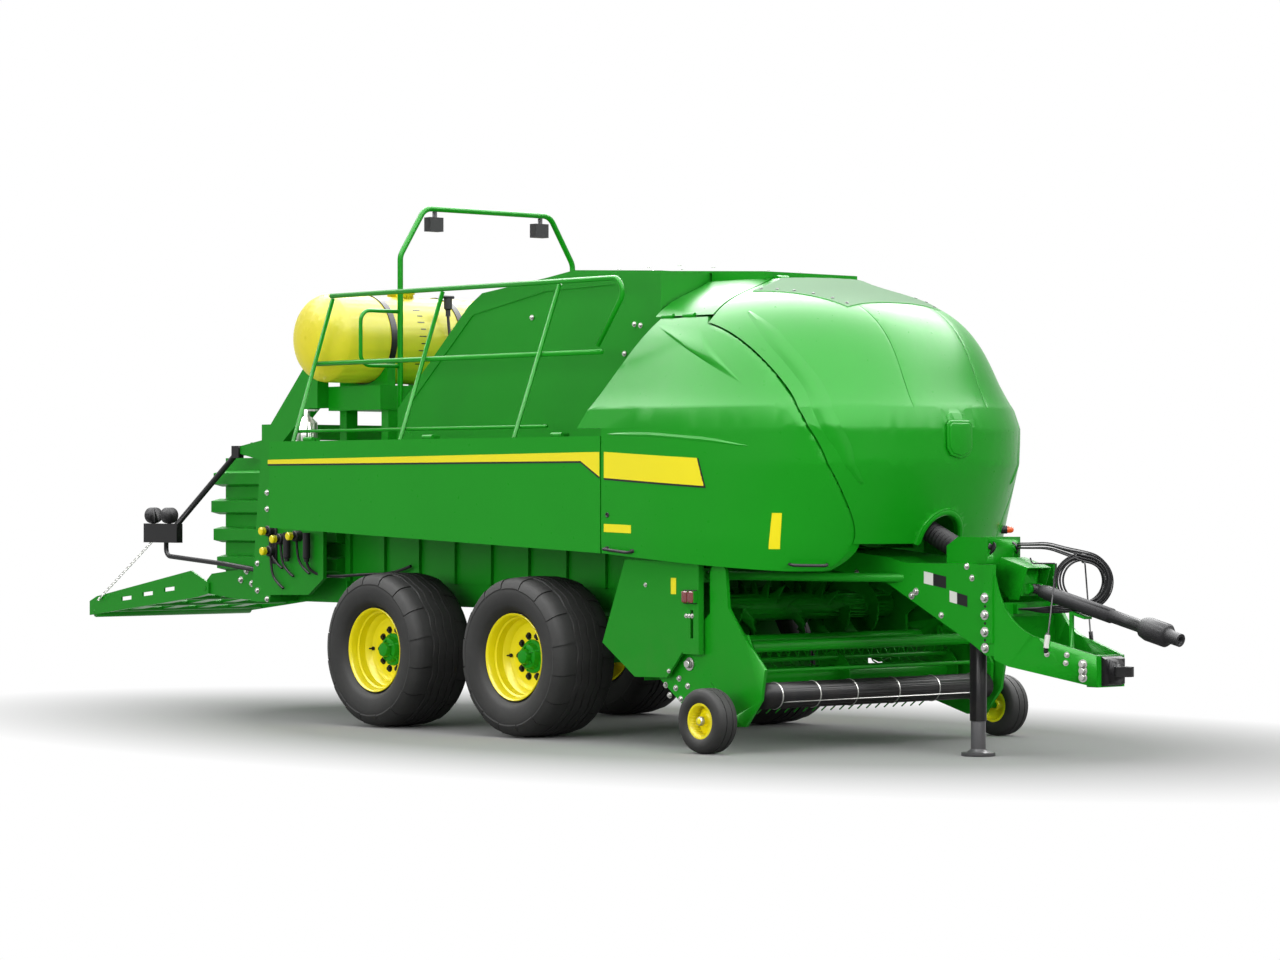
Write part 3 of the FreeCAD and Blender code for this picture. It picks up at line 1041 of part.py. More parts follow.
def gearbox_and_guard():
    """The front gearbox on the beam, and the guard over the drive shaft's joint."""
    housing = side_plate([(GEARBOX_REAR, BEAM_TOP), (GEARBOX_FRONT, BEAM_TOP), (GEARBOX_FRONT, GEARBOX_TOP),
                          (GEARBOX_REAR + 95, GEARBOX_TOP), (GEARBOX_REAR, BEAM_TOP + 108)],
                         -GEARBOX_Y, GEARBOX_Y)
    x, y, z = HOSE_OUT
    port = rod((GEARBOX_FRONT - 40, -y, z), (GEARBOX_FRONT + 5, -y, z), HOSE_R)
    grommet = rod((x - 5, y, z), (x + HOSE_PLATE_T, y, z), HOSE_R + 12)
    casting = box(3140, PTO_PIVOT_X - 40, -85, 85, 985, BEAM_TOP)
    guard_rear = 3271.0
    outline = [(guard_rear, 1050), (guard_rear, 1143), (3300, 1220), (3518, 1160), (3446, 962), (3374, 962)]
    guard = side_plate(outline, -GUARD_Y, GUARD_Y)
    inside = [(guard_rear + 6, 1053), (guard_rear + 6, 1141), (3304, 1212), (3530, 1151), (3460, 955),
              (3375, 955)]
    guard = guard.cut(side_plate(inside, -GUARD_Y + 6, GUARD_Y - 6))
    tie = box(3300, 3340, -GUARD_Y + 3, GUARD_Y - 3, 1100, 1140)
    x, y, z = HOSE_IN
    fittings = box(x, x + 35, y - 45, y + 45, z - 30, z + 30)
    save("front_gearbox", Part.makeCompound([
        join(housing.cut(port), grommet, casting, guard, tie, output_fork()), fittings]))


def hose_hooks(arms):
    """Two upright rods on the hitch arms with hooks for the hoses, the left one holding the coil."""
    hook_z = COIL_Z + COIL_R - COIL_TUBE_R - HOOK_R - SEAT
    turn_y = 130.0
    reach = 145.0

    def ahead(distance, rise):
        return (HOOK_X + 13 + COIL_AXIS.x * distance, turn_y + COIL_AXIS.y * distance, hook_z + rise)

    hook = bent_tube([(HOOK_X, 208, 650), ahead(0, 0), ahead(reach, 0), ahead(reach + 12, 34)], HOOK_R, 14)
    foot = rod((HOOK_X, 203, 660), (HOOK_X, 216, 660), 13)
    spring = rod((HOOK_X, 208, 672), (HOOK_X + 3, 194, 770), 13)
    save("hose_hooks", both(join(hook, foot, spring)).cut(arms))


def hoses():
    """The tractor's hoses, hung up in a coil in front of the gearbox: lead, coil and tail."""
    coil = Part.makeTorus(COIL_R, COIL_TUBE_R, V(COIL_X, COIL_Y, COIL_Z), COIL_AXIS)
    solids = [coil]
    for route in (HOSE_LEAD, HOSE_TAIL):
        points = [V(*p) for p in route]
        radii = []
        for a, b, c in zip(points, points[1:], points[2:]):
            half_turn = (b - a).getAngle(c - b) / 2
            radii.append(0.45 * min((b - a).Length, (c - b).Length) / math.tan(half_turn))
        print("hose bends, mm:", [round(r) for r in radii])
        solids.append(along_path(tube_path(route, radii), route, HOSE_R).cut(coil))
    save("hydraulic_hoses", Part.makeCompound(solids))


def jack(y0):
    tube = pipe((JACK_X, JACK_Y, JACK_TUBE_LOW), (JACK_X, JACK_Y, JACK_TUBE_TOP), JACK_TUBE_R, JACK_LEG_R)
    cap = Part.makeCylinder(JACK_TUBE_R, 12, V(JACK_X, JACK_Y, JACK_TUBE_TOP))
    bracket = box(JACK_X - 45, JACK_X + 45, -y0, JACK_Y - JACK_LEG_R - 1, 720, 790)
    save("jack_tube", join(tube, cap, bracket))
    leg_top = JACK_TUBE_TOP - JACK_TRAVEL - 20
    leg = Part.makeCylinder(JACK_LEG_R - RUN, leg_top, V(JACK_X, JACK_Y, 0))
    foot = Part.makeCylinder(JACK_FOOT_R, JACK_FOOT_T, V(JACK_X, JACK_Y, 0))
    boss = Part.makeCone(JACK_LEG_R + 28, JACK_LEG_R - 1, JACK_BOSS_T, V(JACK_X, JACK_Y, JACK_FOOT_T))
    save("jack_leg", join(leg, foot, boss))


# ---- rear end ----------------------------------------------------------------
def chute():
    slope = (CHUTE_PIVOT_Z - CHUTE_END_Z) / (CHUTE_PIVOT_X - CHUTE_END_X)
    inner = CHUTE_Y - CHUTE_PLATE_T
    tail = CHUTE_END_X - CHUTE_TAIL
    plate = side_plate([(CHUTE_PIVOT_X + 45, CHUTE_PIVOT_Z - 40), (CHUTE_PIVOT_X + 45, CHUTE_PIVOT_Z + 40),
                        (CHUTE_PIVOT_X - 180, CHUTE_PIVOT_Z + 130), (CHUTE_END_X + 40, CHUTE_END_Z + 120),
                        (tail, CHUTE_END_Z + 80), (tail, CHUTE_END_Z - 30),
                        (CHUTE_PIVOT_X - 100, CHUTE_PIVOT_Z - 70)], inner, CHUTE_Y)
    for x, z, r in ((CHUTE_PIVOT_X, CHUTE_PIVOT_Z, CHUTE_PIN_R), (CHUTE_END_X, CHUTE_END_Z, CHUTE_AXLE_R)):
        plate = plate.cut(rod((x, inner - 40, z), (x, CHUTE_Y + 40, z), r + RUN))
    for back in (470.0, 760.0, 1050.0):
        x = CHUTE_PIVOT_X - back
        z = CHUTE_PIVOT_Z - slope * back + 45
        slot = side_plate([(x - 70, z - 17), (x - 70, z + 13), (x + 70, z + 27), (x + 70, z - 3)],
                          inner - 5, CHUTE_Y + 5)
        plate = plate.cut(slot)
    pin = rod((CHAIN_LOW[0], CHUTE_Y, CHAIN_LOW[1]), (CHAIN_LOW[0], CHAIN_Y - 11, CHAIN_LOW[1]), CHAIN_PIN_R)
    side = join(plate, pin)

    def on_slope(back, rise=0.0):
        return CHUTE_PIVOT_X - back, CHUTE_PIVOT_Z - slope * back + rise

    bars = [cross_rod(*on_slope(back), inner + 3, 22) for back in (200, 600, 1000, 1350)]
    slats = [side_plate([on_slope(150, -10), on_slope(150, 25), on_slope(1400, 25), on_slope(1400, -10)],
                        y - 60, y + 60)
             for y in (-CHAMBER_Y * 0.8, -CHAMBER_Y * 0.27, CHAMBER_Y * 0.27, CHAMBER_Y * 0.8)]
    save("chute_frame", join(side, mirror(side), *(bars + slats)))
    roller = cross_rod(CHUTE_END_X, CHUTE_END_Z, inner - 6, CHUTE_ROLLER_R)
    save("chute_roller", join(roller, cross_rod(CHUTE_END_X, CHUTE_END_Z, CHUTE_Y, CHUTE_AXLE_R)))


def lamp_arms(portal):
    arms, lamps = [], []
    case_in, case_out = CHAIN_Y + 20, CHAIN_Y + 75
    for side, s in SIDES:
        y = s * LAMP_ARM_Y
        case = box(-4900, -4460, *sorted((s * case_in, s * case_out)), 1240, 1385)
        x, z = STRUT_TOP
        strut = rod((-4500, y, 1375), (x - 60, y, z - 40), 22)
        clevis = box(x - 75, x + 15, y - 24, y + 24, z - 60, z + 30)
        clevis = clevis.cut(box(x - 40, x + 20, y - 8, y + 8, z - 70, z + 40))
        tube = bent_tube([(-4640, y, 1250), (-4640, y, 1140), (-3900, y, 1090), (RAIL_REAR + 30, y, 1050)],
                         18, 60)
        pin = rod((CHAIN_TOP[0], s * case_in, CHAIN_TOP[1]),
                  (CHAIN_TOP[0], s * (CHAIN_Y - 10), CHAIN_TOP[1]), CHAIN_PIN_R)
        arms.append(join(case, strut, clevis, tube, pin).cut(portal))
        for x in (-4810.0, -4600.0):
            can = rod((x - 35, y, 1385 + 62), (x + 35, y, 1385 + 62), 60)
            lamps.append(join(can, box(x - 12, x + 12, y - 12, y + 12, 1385, 1400)))
        ends = [(p[0], s * CHAIN_Y, p[1]) for p in (CHAIN_TOP, CHAIN_LOW)]
        eyes = [pipe((x, py - 7, z), (x, py + 7, z), 20, CHAIN_PIN_R + RUN) for x, py, z in ends]
        chain = rod(*ends, 6)
        for x, py, z in ends:
            chain = chain.cut(rod((x, py - 9, z), (x, py + 9, z), 14))
        save("chute_chain_" + side, join(chain, *eyes))
    save("lamp_arms", Part.makeCompound(arms))
    return lamps


def main():
    road_wheels()
    axles()
    suspension()
    chassis()
    bale_chamber()
    density_flaps()
    portal = rear_portal()
    skin()
    platform()
    upper_cover()
    handrails()
    tank()
    extinguisher()
    lamps = hoop()
    front_frame()
    feeder()
    pickup()
    drive_shaft()
    drawbar()
    hoses()
    chute()
    save("work_lamps", Part.makeCompound(lamps + lamp_arms(portal)))


main()
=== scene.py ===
"""Looks of a large square baler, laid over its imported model.

Everything is in metres in the model's own frame: +X towards the tractor, +Y to the
machine's left, +Z up.  Places along the machine are given from the front tandem axle
through at(), because that is how the model was drawn.
"""
import json
import math

import bpy
from mathutils import Matrix, Vector

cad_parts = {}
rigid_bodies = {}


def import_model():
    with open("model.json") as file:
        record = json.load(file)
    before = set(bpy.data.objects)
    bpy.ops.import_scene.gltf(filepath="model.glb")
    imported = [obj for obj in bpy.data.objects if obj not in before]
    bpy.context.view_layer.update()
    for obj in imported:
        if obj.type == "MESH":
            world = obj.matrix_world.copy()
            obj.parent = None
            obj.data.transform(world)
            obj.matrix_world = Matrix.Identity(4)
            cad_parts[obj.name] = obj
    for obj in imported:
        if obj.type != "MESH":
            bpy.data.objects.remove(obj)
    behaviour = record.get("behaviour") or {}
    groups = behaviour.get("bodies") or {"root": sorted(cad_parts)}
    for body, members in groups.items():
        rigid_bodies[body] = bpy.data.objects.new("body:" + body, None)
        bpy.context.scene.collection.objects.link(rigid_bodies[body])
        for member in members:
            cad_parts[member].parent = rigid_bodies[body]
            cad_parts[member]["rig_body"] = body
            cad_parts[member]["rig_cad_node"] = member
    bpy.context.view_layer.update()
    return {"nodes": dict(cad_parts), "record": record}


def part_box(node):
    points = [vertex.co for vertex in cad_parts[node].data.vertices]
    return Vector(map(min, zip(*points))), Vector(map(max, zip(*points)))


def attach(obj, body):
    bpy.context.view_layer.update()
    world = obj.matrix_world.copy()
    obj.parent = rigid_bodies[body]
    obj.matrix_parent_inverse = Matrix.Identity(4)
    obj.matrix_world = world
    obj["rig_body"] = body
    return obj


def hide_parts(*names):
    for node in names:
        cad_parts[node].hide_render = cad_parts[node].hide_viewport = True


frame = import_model()

bl_info = {
    "name": "Square baler looks",
    "version": (1, 0, 0),
    "blender": (4, 5, 0),
    "location": "View3D > Sidebar > Baler",
    "description": "Paint, tyres, trim and hoses for the packed square baler",
    "category": "Object",
}

NODES = frame["nodes"]
AXLE_X = sum(corner.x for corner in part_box("tyre_front_right")) / 2     # the front tandem axle
SIDES = (("right", -1), ("left", 1))


# ---- sizes and colours that a user would change ----
def colour(name, description, *value):
    return bpy.props.FloatVectorProperty(name=name, description=description, subtype="COLOR",
                                         size=4, min=0.0, max=1.0, default=(*value, 1.0))


def number(name, description, value, unit="LENGTH"):
    return bpy.props.FloatProperty(name=name, description=description, unit=unit, default=value)


class PaintColours(bpy.types.PropertyGroup):
    """Colours of the baler's finishes."""
    green: colour("Green", "Body panels and frame", 0.006, 0.285, 0.008)
    dark_green: colour("Dark green", "Chassis and covers behind the panels", 0.008, 0.255, 0.01)
    # the roof green is pale because the sky's sheen on the green top sheet is painted into it
    sheen_painted_green: colour("Roof green with painted sheen", "Sheet on top of the hood", 0.53, 0.79, 0.54)
    yellow: colour("Yellow", "Rims, stripe and reflectors", 0.88, 0.76, 0.004)
    tank: colour("Tank yellow", "Additive tank", 0.82, 0.72, 0.03)
    tyre: colour("Tyre", "Tyre rubber", 0.02, 0.02, 0.0195)
    black: colour("Black", "Black painted metal", 0.01, 0.01, 0.011)
    plastic: colour("Black plastic", "Guards, lamps and hoses", 0.013, 0.013, 0.014)
    grey: colour("Grey", "Jack leg", 0.075, 0.075, 0.08)
    dust: colour("Dust", "Dry dust in low places", 0.16, 0.13, 0.09)


class TrimSizes(bpy.types.PropertyGroup):
    """Sizes of the small parts laid over the model."""
    tread: number("Tread depth", "Depth of the tyres' grooves", 0.012)
    groove: number("Tread groove", "Width of a tyre's groove", 0.014)
    decal: number("Decal thickness", "How far stripes and reflectors stand proud", 0.0015)
    hose: number("Hose", "Outside diameter of a hydraulic hose", 0.013)
    cable: number("Cable", "Outside diameter of the lighting cable", 0.008)
    wire: number("Wire", "Diameter of the wire on the guard's roller", 0.005)


class StudioSettings(bpy.types.PropertyGroup):
    """Floor, light and camera."""
    floor: colour("Floor", "Colour of the floor near the machine", 0.54, 0.54, 0.54)
    top_light: number("Top light", "Power of the lamp overhead", 60.0, "POWER")
    side_light: number("Side light", "Power of the lamp beside the camera", 700.0, "POWER")
    sheen: number("Sheen", "Power of the sheet that shows only in gloss", 42000.0, "POWER")
    sky: number("Sky", "Brightness of the room", 0.62, "NONE")
    lens: number("Lens", "Focal length of the camera", 105.83, "CAMERA")


# ---- making things by hand ----
MERGED = ("remove_doubles", {"threshold": 0.00002})
CAD_MERGED = ("remove_doubles", {"threshold": 0.00005})
OUTWARDS = ("normals_make_consistent", {"inside": False})


def at(x, y, z):
    """A place given from the front axle."""
    return Vector((AXLE_X + x, y, z))


def rest():
    """Leaves edit mode with nothing selected."""
    if bpy.context.object and bpy.context.object.mode != "OBJECT":
        bpy.ops.object.mode_set(mode="OBJECT")
    bpy.ops.object.select_all(action="DESELECT")


def pick(*objects):
    """Selects these alone and makes the first one active."""
    rest()
    for each in objects:
        each.select_set(True)
    bpy.context.view_layer.objects.active = objects[0]


def link(item):
    bpy.context.scene.collection.objects.link(item)
    return item


def primitive(kind, **settings):
    """Adds a primitive with nothing else selected."""
    rest()
    getattr(bpy.ops.mesh, "primitive_%s_add" % kind)(**settings)
    return bpy.context.object


def settle(piece):
    """Moves a piece's place, turn and size into its mesh."""
    pick(piece)
    bpy.ops.object.transform_apply(location=True, rotation=True, scale=True)
    return piece


def edit(piece, *steps):
    """Runs mesh operators, given as (name, settings), on all of a piece."""
    pick(piece)
    bpy.ops.object.mode_set(mode="EDIT")
    for name, settings in steps:
        bpy.ops.mesh.select_all(action="SELECT")
        getattr(bpy.ops.mesh, name)(**settings)
    rest()
    return piece


def modify(piece, kind, **settings):
    """Adds a modifier with these settings and applies it."""
    pick(piece)
    modifier = piece.modifiers.new(kind, kind)
    for label, value in settings.items():
        setattr(modifier, label, value)
    bpy.ops.object.modifier_apply(modifier=modifier.name)
    return piece


def smooth(piece, angle=35.0):
    """Shades a piece smoothly where its faces turn by less than the angle."""
    pick(piece)
    bpy.ops.object.shade_smooth_by_angle(angle=math.radians(angle))
    return piece


def soften(piece, width=0.003, segments=2, angle=35.0):
    """Rounds the piece's edges and shades it smoothly up to the angle."""
    return smooth(modify(piece, "BEVEL", width=width, segments=segments, limit_method="ANGLE",
                         angle_limit=math.radians(angle), harden_normals=False), angle)


def thicken(piece, thickness):
    return modify(piece, "SOLIDIFY", thickness=thickness, offset=1.0)


def block(low, high):
    """A block between two corners."""
    low, high = Vector(low), Vector(high)
    piece = primitive("cube", size=1.0, location=(low + high) / 2)
    piece.scale = [abs(a - b) for a, b in zip(high, low)]
    return settle(piece)


def bar(start, end, radius, sides, far_radius=None):
    """A round bar, or a cone, from one point to another."""
    start, end = Vector(start), Vector(end)
    far_radius = radius if far_radius is None else far_radius
    return settle(primitive(
        "cone", vertices=sides, radius1=radius, radius2=far_radius, depth=(end - start).length,
        location=(start + end) / 2, rotation=(end - start).to_track_quat("Z", "Y").to_euler()))


def ring_of(spots, fill="NOTHING"):
    """A ring of edges through the spots."""
    piece = primitive("circle", vertices=len(spots), fill_type=fill)
    for vertex, spot in zip(piece.data.vertices, spots):
        vertex.co = spot
    return piece


def plate(points, depth, origin, across=(1, 0, 0), up=(0, 0, 1)):
    """A flat outline of (across, up) points, filled and extruded by depth along across x up."""
    origin, across, up = Vector(origin), Vector(across), Vector(up)
    away = across.cross(up).normalized() * depth
    return edit(ring_of([origin + across * u + up * w for u, w in points], "NGON"),
                ("extrude_region_move", {"TRANSFORM_OT_translate": {"value": away}}), OUTWARDS)


def spin(piece, steps, angle, centre, axis):
    """Sweeps a ring of edges round an axis and closes what meets."""
    return edit(piece, ("spin", {"steps": steps, "angle": angle, "center": centre, "axis": axis,
                                 "use_auto_merge": False}), MERGED, OUTWARDS)


def revolve(profile, centre, axis, steps, angle=35.0):
    """A profile of (along, out) points spun about an axis; with no angle it isn't shaded yet."""
    centre, axis = Vector(centre), Vector(axis).normalized()
    out = axis.orthogonal().normalized()
    piece = spin(ring_of([centre + axis * along + out * reach for along, reach in profile]),
                 steps, math.tau, centre, axis)
    return smooth(piece, angle) if angle else piece


def both_ways(profile):
    """Half a tyre's profile with its mirror image joined on."""
    return profile + [(-along, out) for along, out in reversed(profile)]


def join(pieces):
    """Makes one piece of several."""
    pick(*pieces)
    if len(pieces) > 1:
        bpy.ops.object.join()
    return bpy.context.object


def place(piece, matrix):
    """A copy of a piece with its own mesh, moved by the matrix."""
    copy = piece.copy()
    copy.data = piece.data.copy()
    link(copy).data.transform(matrix)
    return copy


def copies(pattern, matrices):
    """A copy of the pattern for each matrix, in place of the pattern."""
    made = []
    for matrix in matrices:
        made.append(place(pattern, matrix))
        if matrix.determinant() < 0:
            made[-1].data.flip_normals()
    bpy.data.objects.remove(pattern)
    return made


def line_through(name, points, radius, rounds, steps):
    """A smooth round line, with the given points as its control points."""
    curve = bpy.data.curves.new(name, "CURVE")
    curve.dimensions = "3D"
    curve.bevel_depth, curve.bevel_resolution, curve.resolution_u = radius, rounds, steps
    curve.use_fill_caps = True
    line = curve.splines.new("NURBS")
    line.points.add(len(points) - 1)
    for spot, point in zip(line.points, points):
        spot.co = (*point, 1.0)
    line.order_u = 3
    line.use_endpoint_u = True
    return link(bpy.data.objects.new(name, curve))


def bent(points, radius, rounds=2):
    """A bent rod, drawn as a curve and made a mesh."""
    pick(line_through("bent", points, radius, rounds, 5))
    bpy.ops.object.convert(target="MESH")
    return smooth(edit(bpy.context.object, MERGED, OUTWARDS), 50.0)


# ---- pieces and what they ride on ----
SLOT_FINISHES = {
    "green": "Green paint", "dark_green": "Dark green paint", "yellow": "Yellow paint",
    "tank_yellow": "Tank plastic", "tyre": "Tyre rubber", "black": "Black paint",
    "black_plastic": "Black plastic", "grey_paint": "Grey paint", "zinc": "Zinc plate",
}
FINISH_SLOTS = {finish: slot for slot, finish in SLOT_FINISHES.items()}
# the roof's pale finish is green paint with a painted sheen
FINISH_SLOTS.update({"Roof painted sheen": "green", "Hose rubber": "black", "Tag white": "zinc",
                     "Marker orange": "zinc", "Clear glass": "zinc", "Red glass": "yellow"})
NODE_SLOTS = {row["node"]: row["material_slot"] for row in frame["record"]["subparts"]}


def body_of(node):
    """The body that a CAD node rides on."""
    return NODES[node]["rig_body"]


def finish(pieces, name, material, body, slot=None, node=None):
    """Makes one named piece, with its material and body, and hides the CAD node it stands for."""
    piece = join(pieces) if isinstance(pieces, list) else pieces
    piece.name = piece.data.name = name
    piece.data.materials.clear()
    piece.data.materials.append(bpy.data.materials[material])
    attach(piece, body)
    slot or FINISH_SLOTS[material]
    if node:
        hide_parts(node)
    return piece


def carried_copy(node, angle=30.0):
    """A copy of a CAD node with its triangles merged and its curved faces shaded smoothly."""
    piece = place(NODES[node], Matrix.Identity(4))
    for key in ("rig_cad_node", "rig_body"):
        del piece[key]
    piece.parent = None
    smooth(edit(piece, CAD_MERGED), angle)
    slot = NODE_SLOTS[node]
    return finish(piece, node + "_skin", SLOT_FINISHES[slot], body_of(node), slot, node)


def hexagon_head(size):
    """A bolt's head on its washer, standing on the origin and pointing up."""
    washer = bar((0, 0, -0.1 * size), (0, 0, 0.16 * size), size * 0.92, 14)
    head = bar((0, 0, 0.1 * size), (0, 0, 0.72 * size), size * 0.577, 6)
    return join([washer, soften(head, size * 0.06, 1, 40)])


def round_head(size):
    """A domed rivet, standing on the origin and pointing up."""
    foot = bar((0, 0, -0.1 * size), (0, 0, 0.12 * size), size * 0.5, 10)
    dome = bar((0, 0, 0.12 * size), (0, 0, 0.26 * size), size * 0.5, 10, size * 0.22)
    return smooth(join([foot, dome]), 50.0)


def scatter(pattern, spots, name, body, material="Zinc plate"):
    """One piece made of copies of a small part, each at its (place, direction)."""
    turned = [Matrix.Translation(Vector(spot))
              @ Vector(direction).to_track_quat("Z", "Y").to_matrix().to_4x4()
              for spot, direction in spots]
    return finish(copies(pattern, turned), name, material, body)


# ---- films and creases laid on the panels ----
DOOR_FACE = 1.28        # half the width over the side doors
FAR_OUT = 1.6           # outside every panel, where a grid that is laid on one starts
PRESSED = {"lift": -0.0006, "thickness": 0.0008}


def lay_on(piece, panel, lift, thickness, swell=0.0, along="y"):
    """Lays a thin grid on a panel along Y or Z, swells its middle and gives it its thickness."""
    modify(piece, "SHRINKWRAP", target=panel, wrap_method="PROJECT", use_project_y=along == "y",
           use_project_z=along == "z", use_negative_direction=True, use_positive_direction=True,
           offset=lift)
    if swell:
        crown(piece, swell)
    return smooth(thicken(piece, thickness), 30.0)


def crown(piece, swell):
    """Raises a laid grid to a crown at its middle, falling to nothing at its rim."""
    near = [set() for _ in piece.data.vertices]
    for first, second in (edge.vertices for edge in piece.data.edges):
        near[first].add(second)
        near[second].add(first)
    depth = {index: 0 for index, others in enumerate(near) if len(others) < 4}
    queue = list(depth)
    for index in queue:
        for other in near[index] - depth.keys():
            depth[other] = depth[index] + 1
            queue.append(other)
    most = max(depth.values())
    normals = [vertex.normal.copy() for vertex in piece.data.vertices]
    for vertex, normal in zip(piece.data.vertices, normals):
        vertex.co += normal * swell * math.sin(math.pi / 2 * depth[vertex.index] / most) ** 2


def mapped_grid(steps, spot_of):
    """A grid whose points are placed by spot_of(share along, share up)."""
    piece = primitive("grid", x_subdivisions=steps[0], y_subdivisions=steps[1], size=2.0)
    for vertex in piece.data.vertices:
        vertex.co = spot_of((vertex.co.x + 1) / 2, (vertex.co.y + 1) / 2)
    return piece


def film(corners, side, panel=None, face=DOOR_FACE, lift=0.0004, thickness=0.0012, steps=(32, 6),
         swell=0.0):
    """A thin film between four corners (x, z): rear top, front top, front low, rear low."""
    rear_top, front_top, front_low, rear_low = (Vector(c) for c in corners)

    def spot_of(u, w):
        spot = rear_low.lerp(front_low, u).lerp(rear_top.lerp(front_top, u), w)
        return at(spot.x, side * (FAR_OUT if panel else face + lift), spot.y)

    piece = mapped_grid(steps, spot_of)
    if side > 0:
        piece.data.flip_normals()
    return lay_on(piece, panel, lift, thickness, swell) if panel else thicken(piece, thickness)


def ribbon(path, width, side, panel, swell, steps=48):
    """A raised crease, tapered at its ends, that follows (x, z) points over a side panel."""
    path = [Vector(point) for point in path]
    spans = [(b - a).length for a, b in zip(path, path[1:])]

    def point_at(u):
        left = u * sum(spans)
        for start, end, span in zip(path, path[1:], spans):
            if left <= span:
                return start.lerp(end, left / span)
            left -= span
        return path[-1]

    def spot_of(u, w):
        before, behind = point_at(min(1.0, u + 0.04)), point_at(max(0.0, u - 0.04))
        run = (before - behind).normalized()
        taper = min(1.0, 0.1 + 4.0 * min(u, 1.0 - u))
        spot = (before + behind) / 2 + Vector((-run.y, run.x)) * width * taper * (w - 0.5)
        return at(spot.x, side * FAR_OUT, spot.y)

    piece = mapped_grid((steps, 4), spot_of)
    if sum(face.normal.y for face in piece.data.polygons) * side < 0:
        piece.data.flip_normals()
    return lay_on(piece, panel, swell=swell, **PRESSED)


# ---- finishes ----
def feed(tree, node, inputs):
    """Fills a node's inputs, each with a value or with another node's output."""
    for label, value in dict(inputs).items():
        if isinstance(value, bpy.types.NodeSocket):
            tree.links.new(value, node.inputs[label])
        else:
            node.inputs[label].default_value = value
    return node


def shading(tree, kind, inputs=(), **settings):
    """Adds a shader node, sets it up and feeds it."""
    node = tree.nodes.new("ShaderNode" + kind)
    for label, value in settings.items():
        setattr(node, label, value)
    return feed(tree, node, inputs)


def noise(tree, where, scale, detail=2.0, roughness=0.5):
    return shading(tree, "TexNoise", {"Vector": where, "Scale": scale, "Detail": detail,
                                      "Roughness": roughness}).outputs["Fac"]


def maths(tree, operation, *values):
    return shading(tree, "Math", enumerate(values), operation=operation).outputs[0]


def remap(tree, value, low, high, to_low=0.0, to_high=1.0):
    return shading(tree, "MapRange", {"Value": value, "From Min": low, "From Max": high,
                                      "To Min": to_low, "To Max": to_high}).outputs["Result"]


def mixed(tree, blend, share, first, second):
    return shading(tree, "Mix", {0: share, 6: first, 7: second}, data_type="RGBA",
                   blend_type=blend).outputs[2]


def object_place(tree):
    return shading(tree, "TexCoord").outputs["Object"]


def new_group(name, defaults):
    """An effect group with these inputs, which puts out a colour, a roughness and a height."""
    tree = bpy.data.node_groups.new(name, "ShaderNodeTree")
    for label, value in defaults.items():
        kind = "NodeSocketColor" if isinstance(value, tuple) else "NodeSocketFloat"
        socket = tree.interface.new_socket(name=label, in_out="INPUT", socket_type=kind)
        socket.default_value = value
    for label, kind in (("Color", "Color"), ("Roughness", "Float"), ("Height", "Float")):
        tree.interface.new_socket(name=label, in_out="OUTPUT", socket_type="NodeSocket" + kind)
    return tree, tree.nodes.new("NodeGroupInput").outputs, tree.nodes.new("NodeGroupOutput")


def coat_group():
    """Sprayed paint: a slow drift of shade, fine orange peel, and dust near the ground."""
    tree, given, made = new_group("Sprayed coat", {
        "Color": (0.5, 0.5, 0.5, 1), "Drift": 0.08, "Dust Color": (0.2, 0.2, 0.2, 1), "Dust": 0.2,
        "Dust Height": 0.9, "Roughness": 0.3})
    where = object_place(tree)
    shade = maths(tree, "SUBTRACT", noise(tree, where, 1.7, 3.0), 0.5)
    level = maths(tree, "ADD", maths(tree, "MULTIPLY", shade, given["Drift"]), 1.0)
    grey = shading(tree, "CombineColor", {0: level, 1: level, 2: level}).outputs[0]
    tinted = mixed(tree, "MULTIPLY", 1.0, given["Color"], grey)
    height = shading(tree, "SeparateXYZ", {0: where}).outputs["Z"]
    low = remap(tree, maths(tree, "DIVIDE", height, given["Dust Height"]), 0.0, 1.0, 1.0, 0.0)
    patches = remap(tree, noise(tree, where, 7.0, 5.0, 0.62), 0.35, 0.75)
    dusty = maths(tree, "MULTIPLY", maths(tree, "MULTIPLY", low, patches), given["Dust"])
    streaks = maths(tree, "SUBTRACT", noise(tree, where, 26.0, 3.0), 0.5)
    rough = maths(tree, "MULTIPLY_ADD", streaks, 0.12, given["Roughness"])
    feed(tree, made, {"Color": mixed(tree, "MIX", dusty, tinted, given["Dust Color"]),
                      "Roughness": maths(tree, "MULTIPLY_ADD", dusty, 0.4, rough),
                      "Height": noise(tree, where, 420.0, 1.0)})


def grain_group():
    """Moulded grain of rubber and plastic, with a paler bloom in patches."""
    tree, given, made = new_group("Moulded grain", {
        "Color": (0.03, 0.03, 0.03, 1), "Bloom Color": (0.1, 0.1, 0.1, 1), "Bloom": 0.3,
        "Roughness": 0.7})
    where = object_place(tree)
    patches = remap(tree, noise(tree, where, 5.0, 5.0, 0.65), 0.35, 0.8)
    bloom = maths(tree, "MULTIPLY", patches, given["Bloom"])
    fine = noise(tree, where, 310.0, 3.0, 0.6)
    feed(tree, made, {"Color": mixed(tree, "MIX", bloom, given["Color"], given["Bloom Color"]),
                      "Roughness": maths(tree, "MULTIPLY_ADD", fine, 0.14, given["Roughness"]),
                      "Height": maths(tree, "ADD", fine, noise(tree, where, 60.0))})


def material(name):
    made = bpy.data.materials.new(name)
    made.use_nodes = True
    return made.node_tree, made.node_tree.nodes["Principled BSDF"]


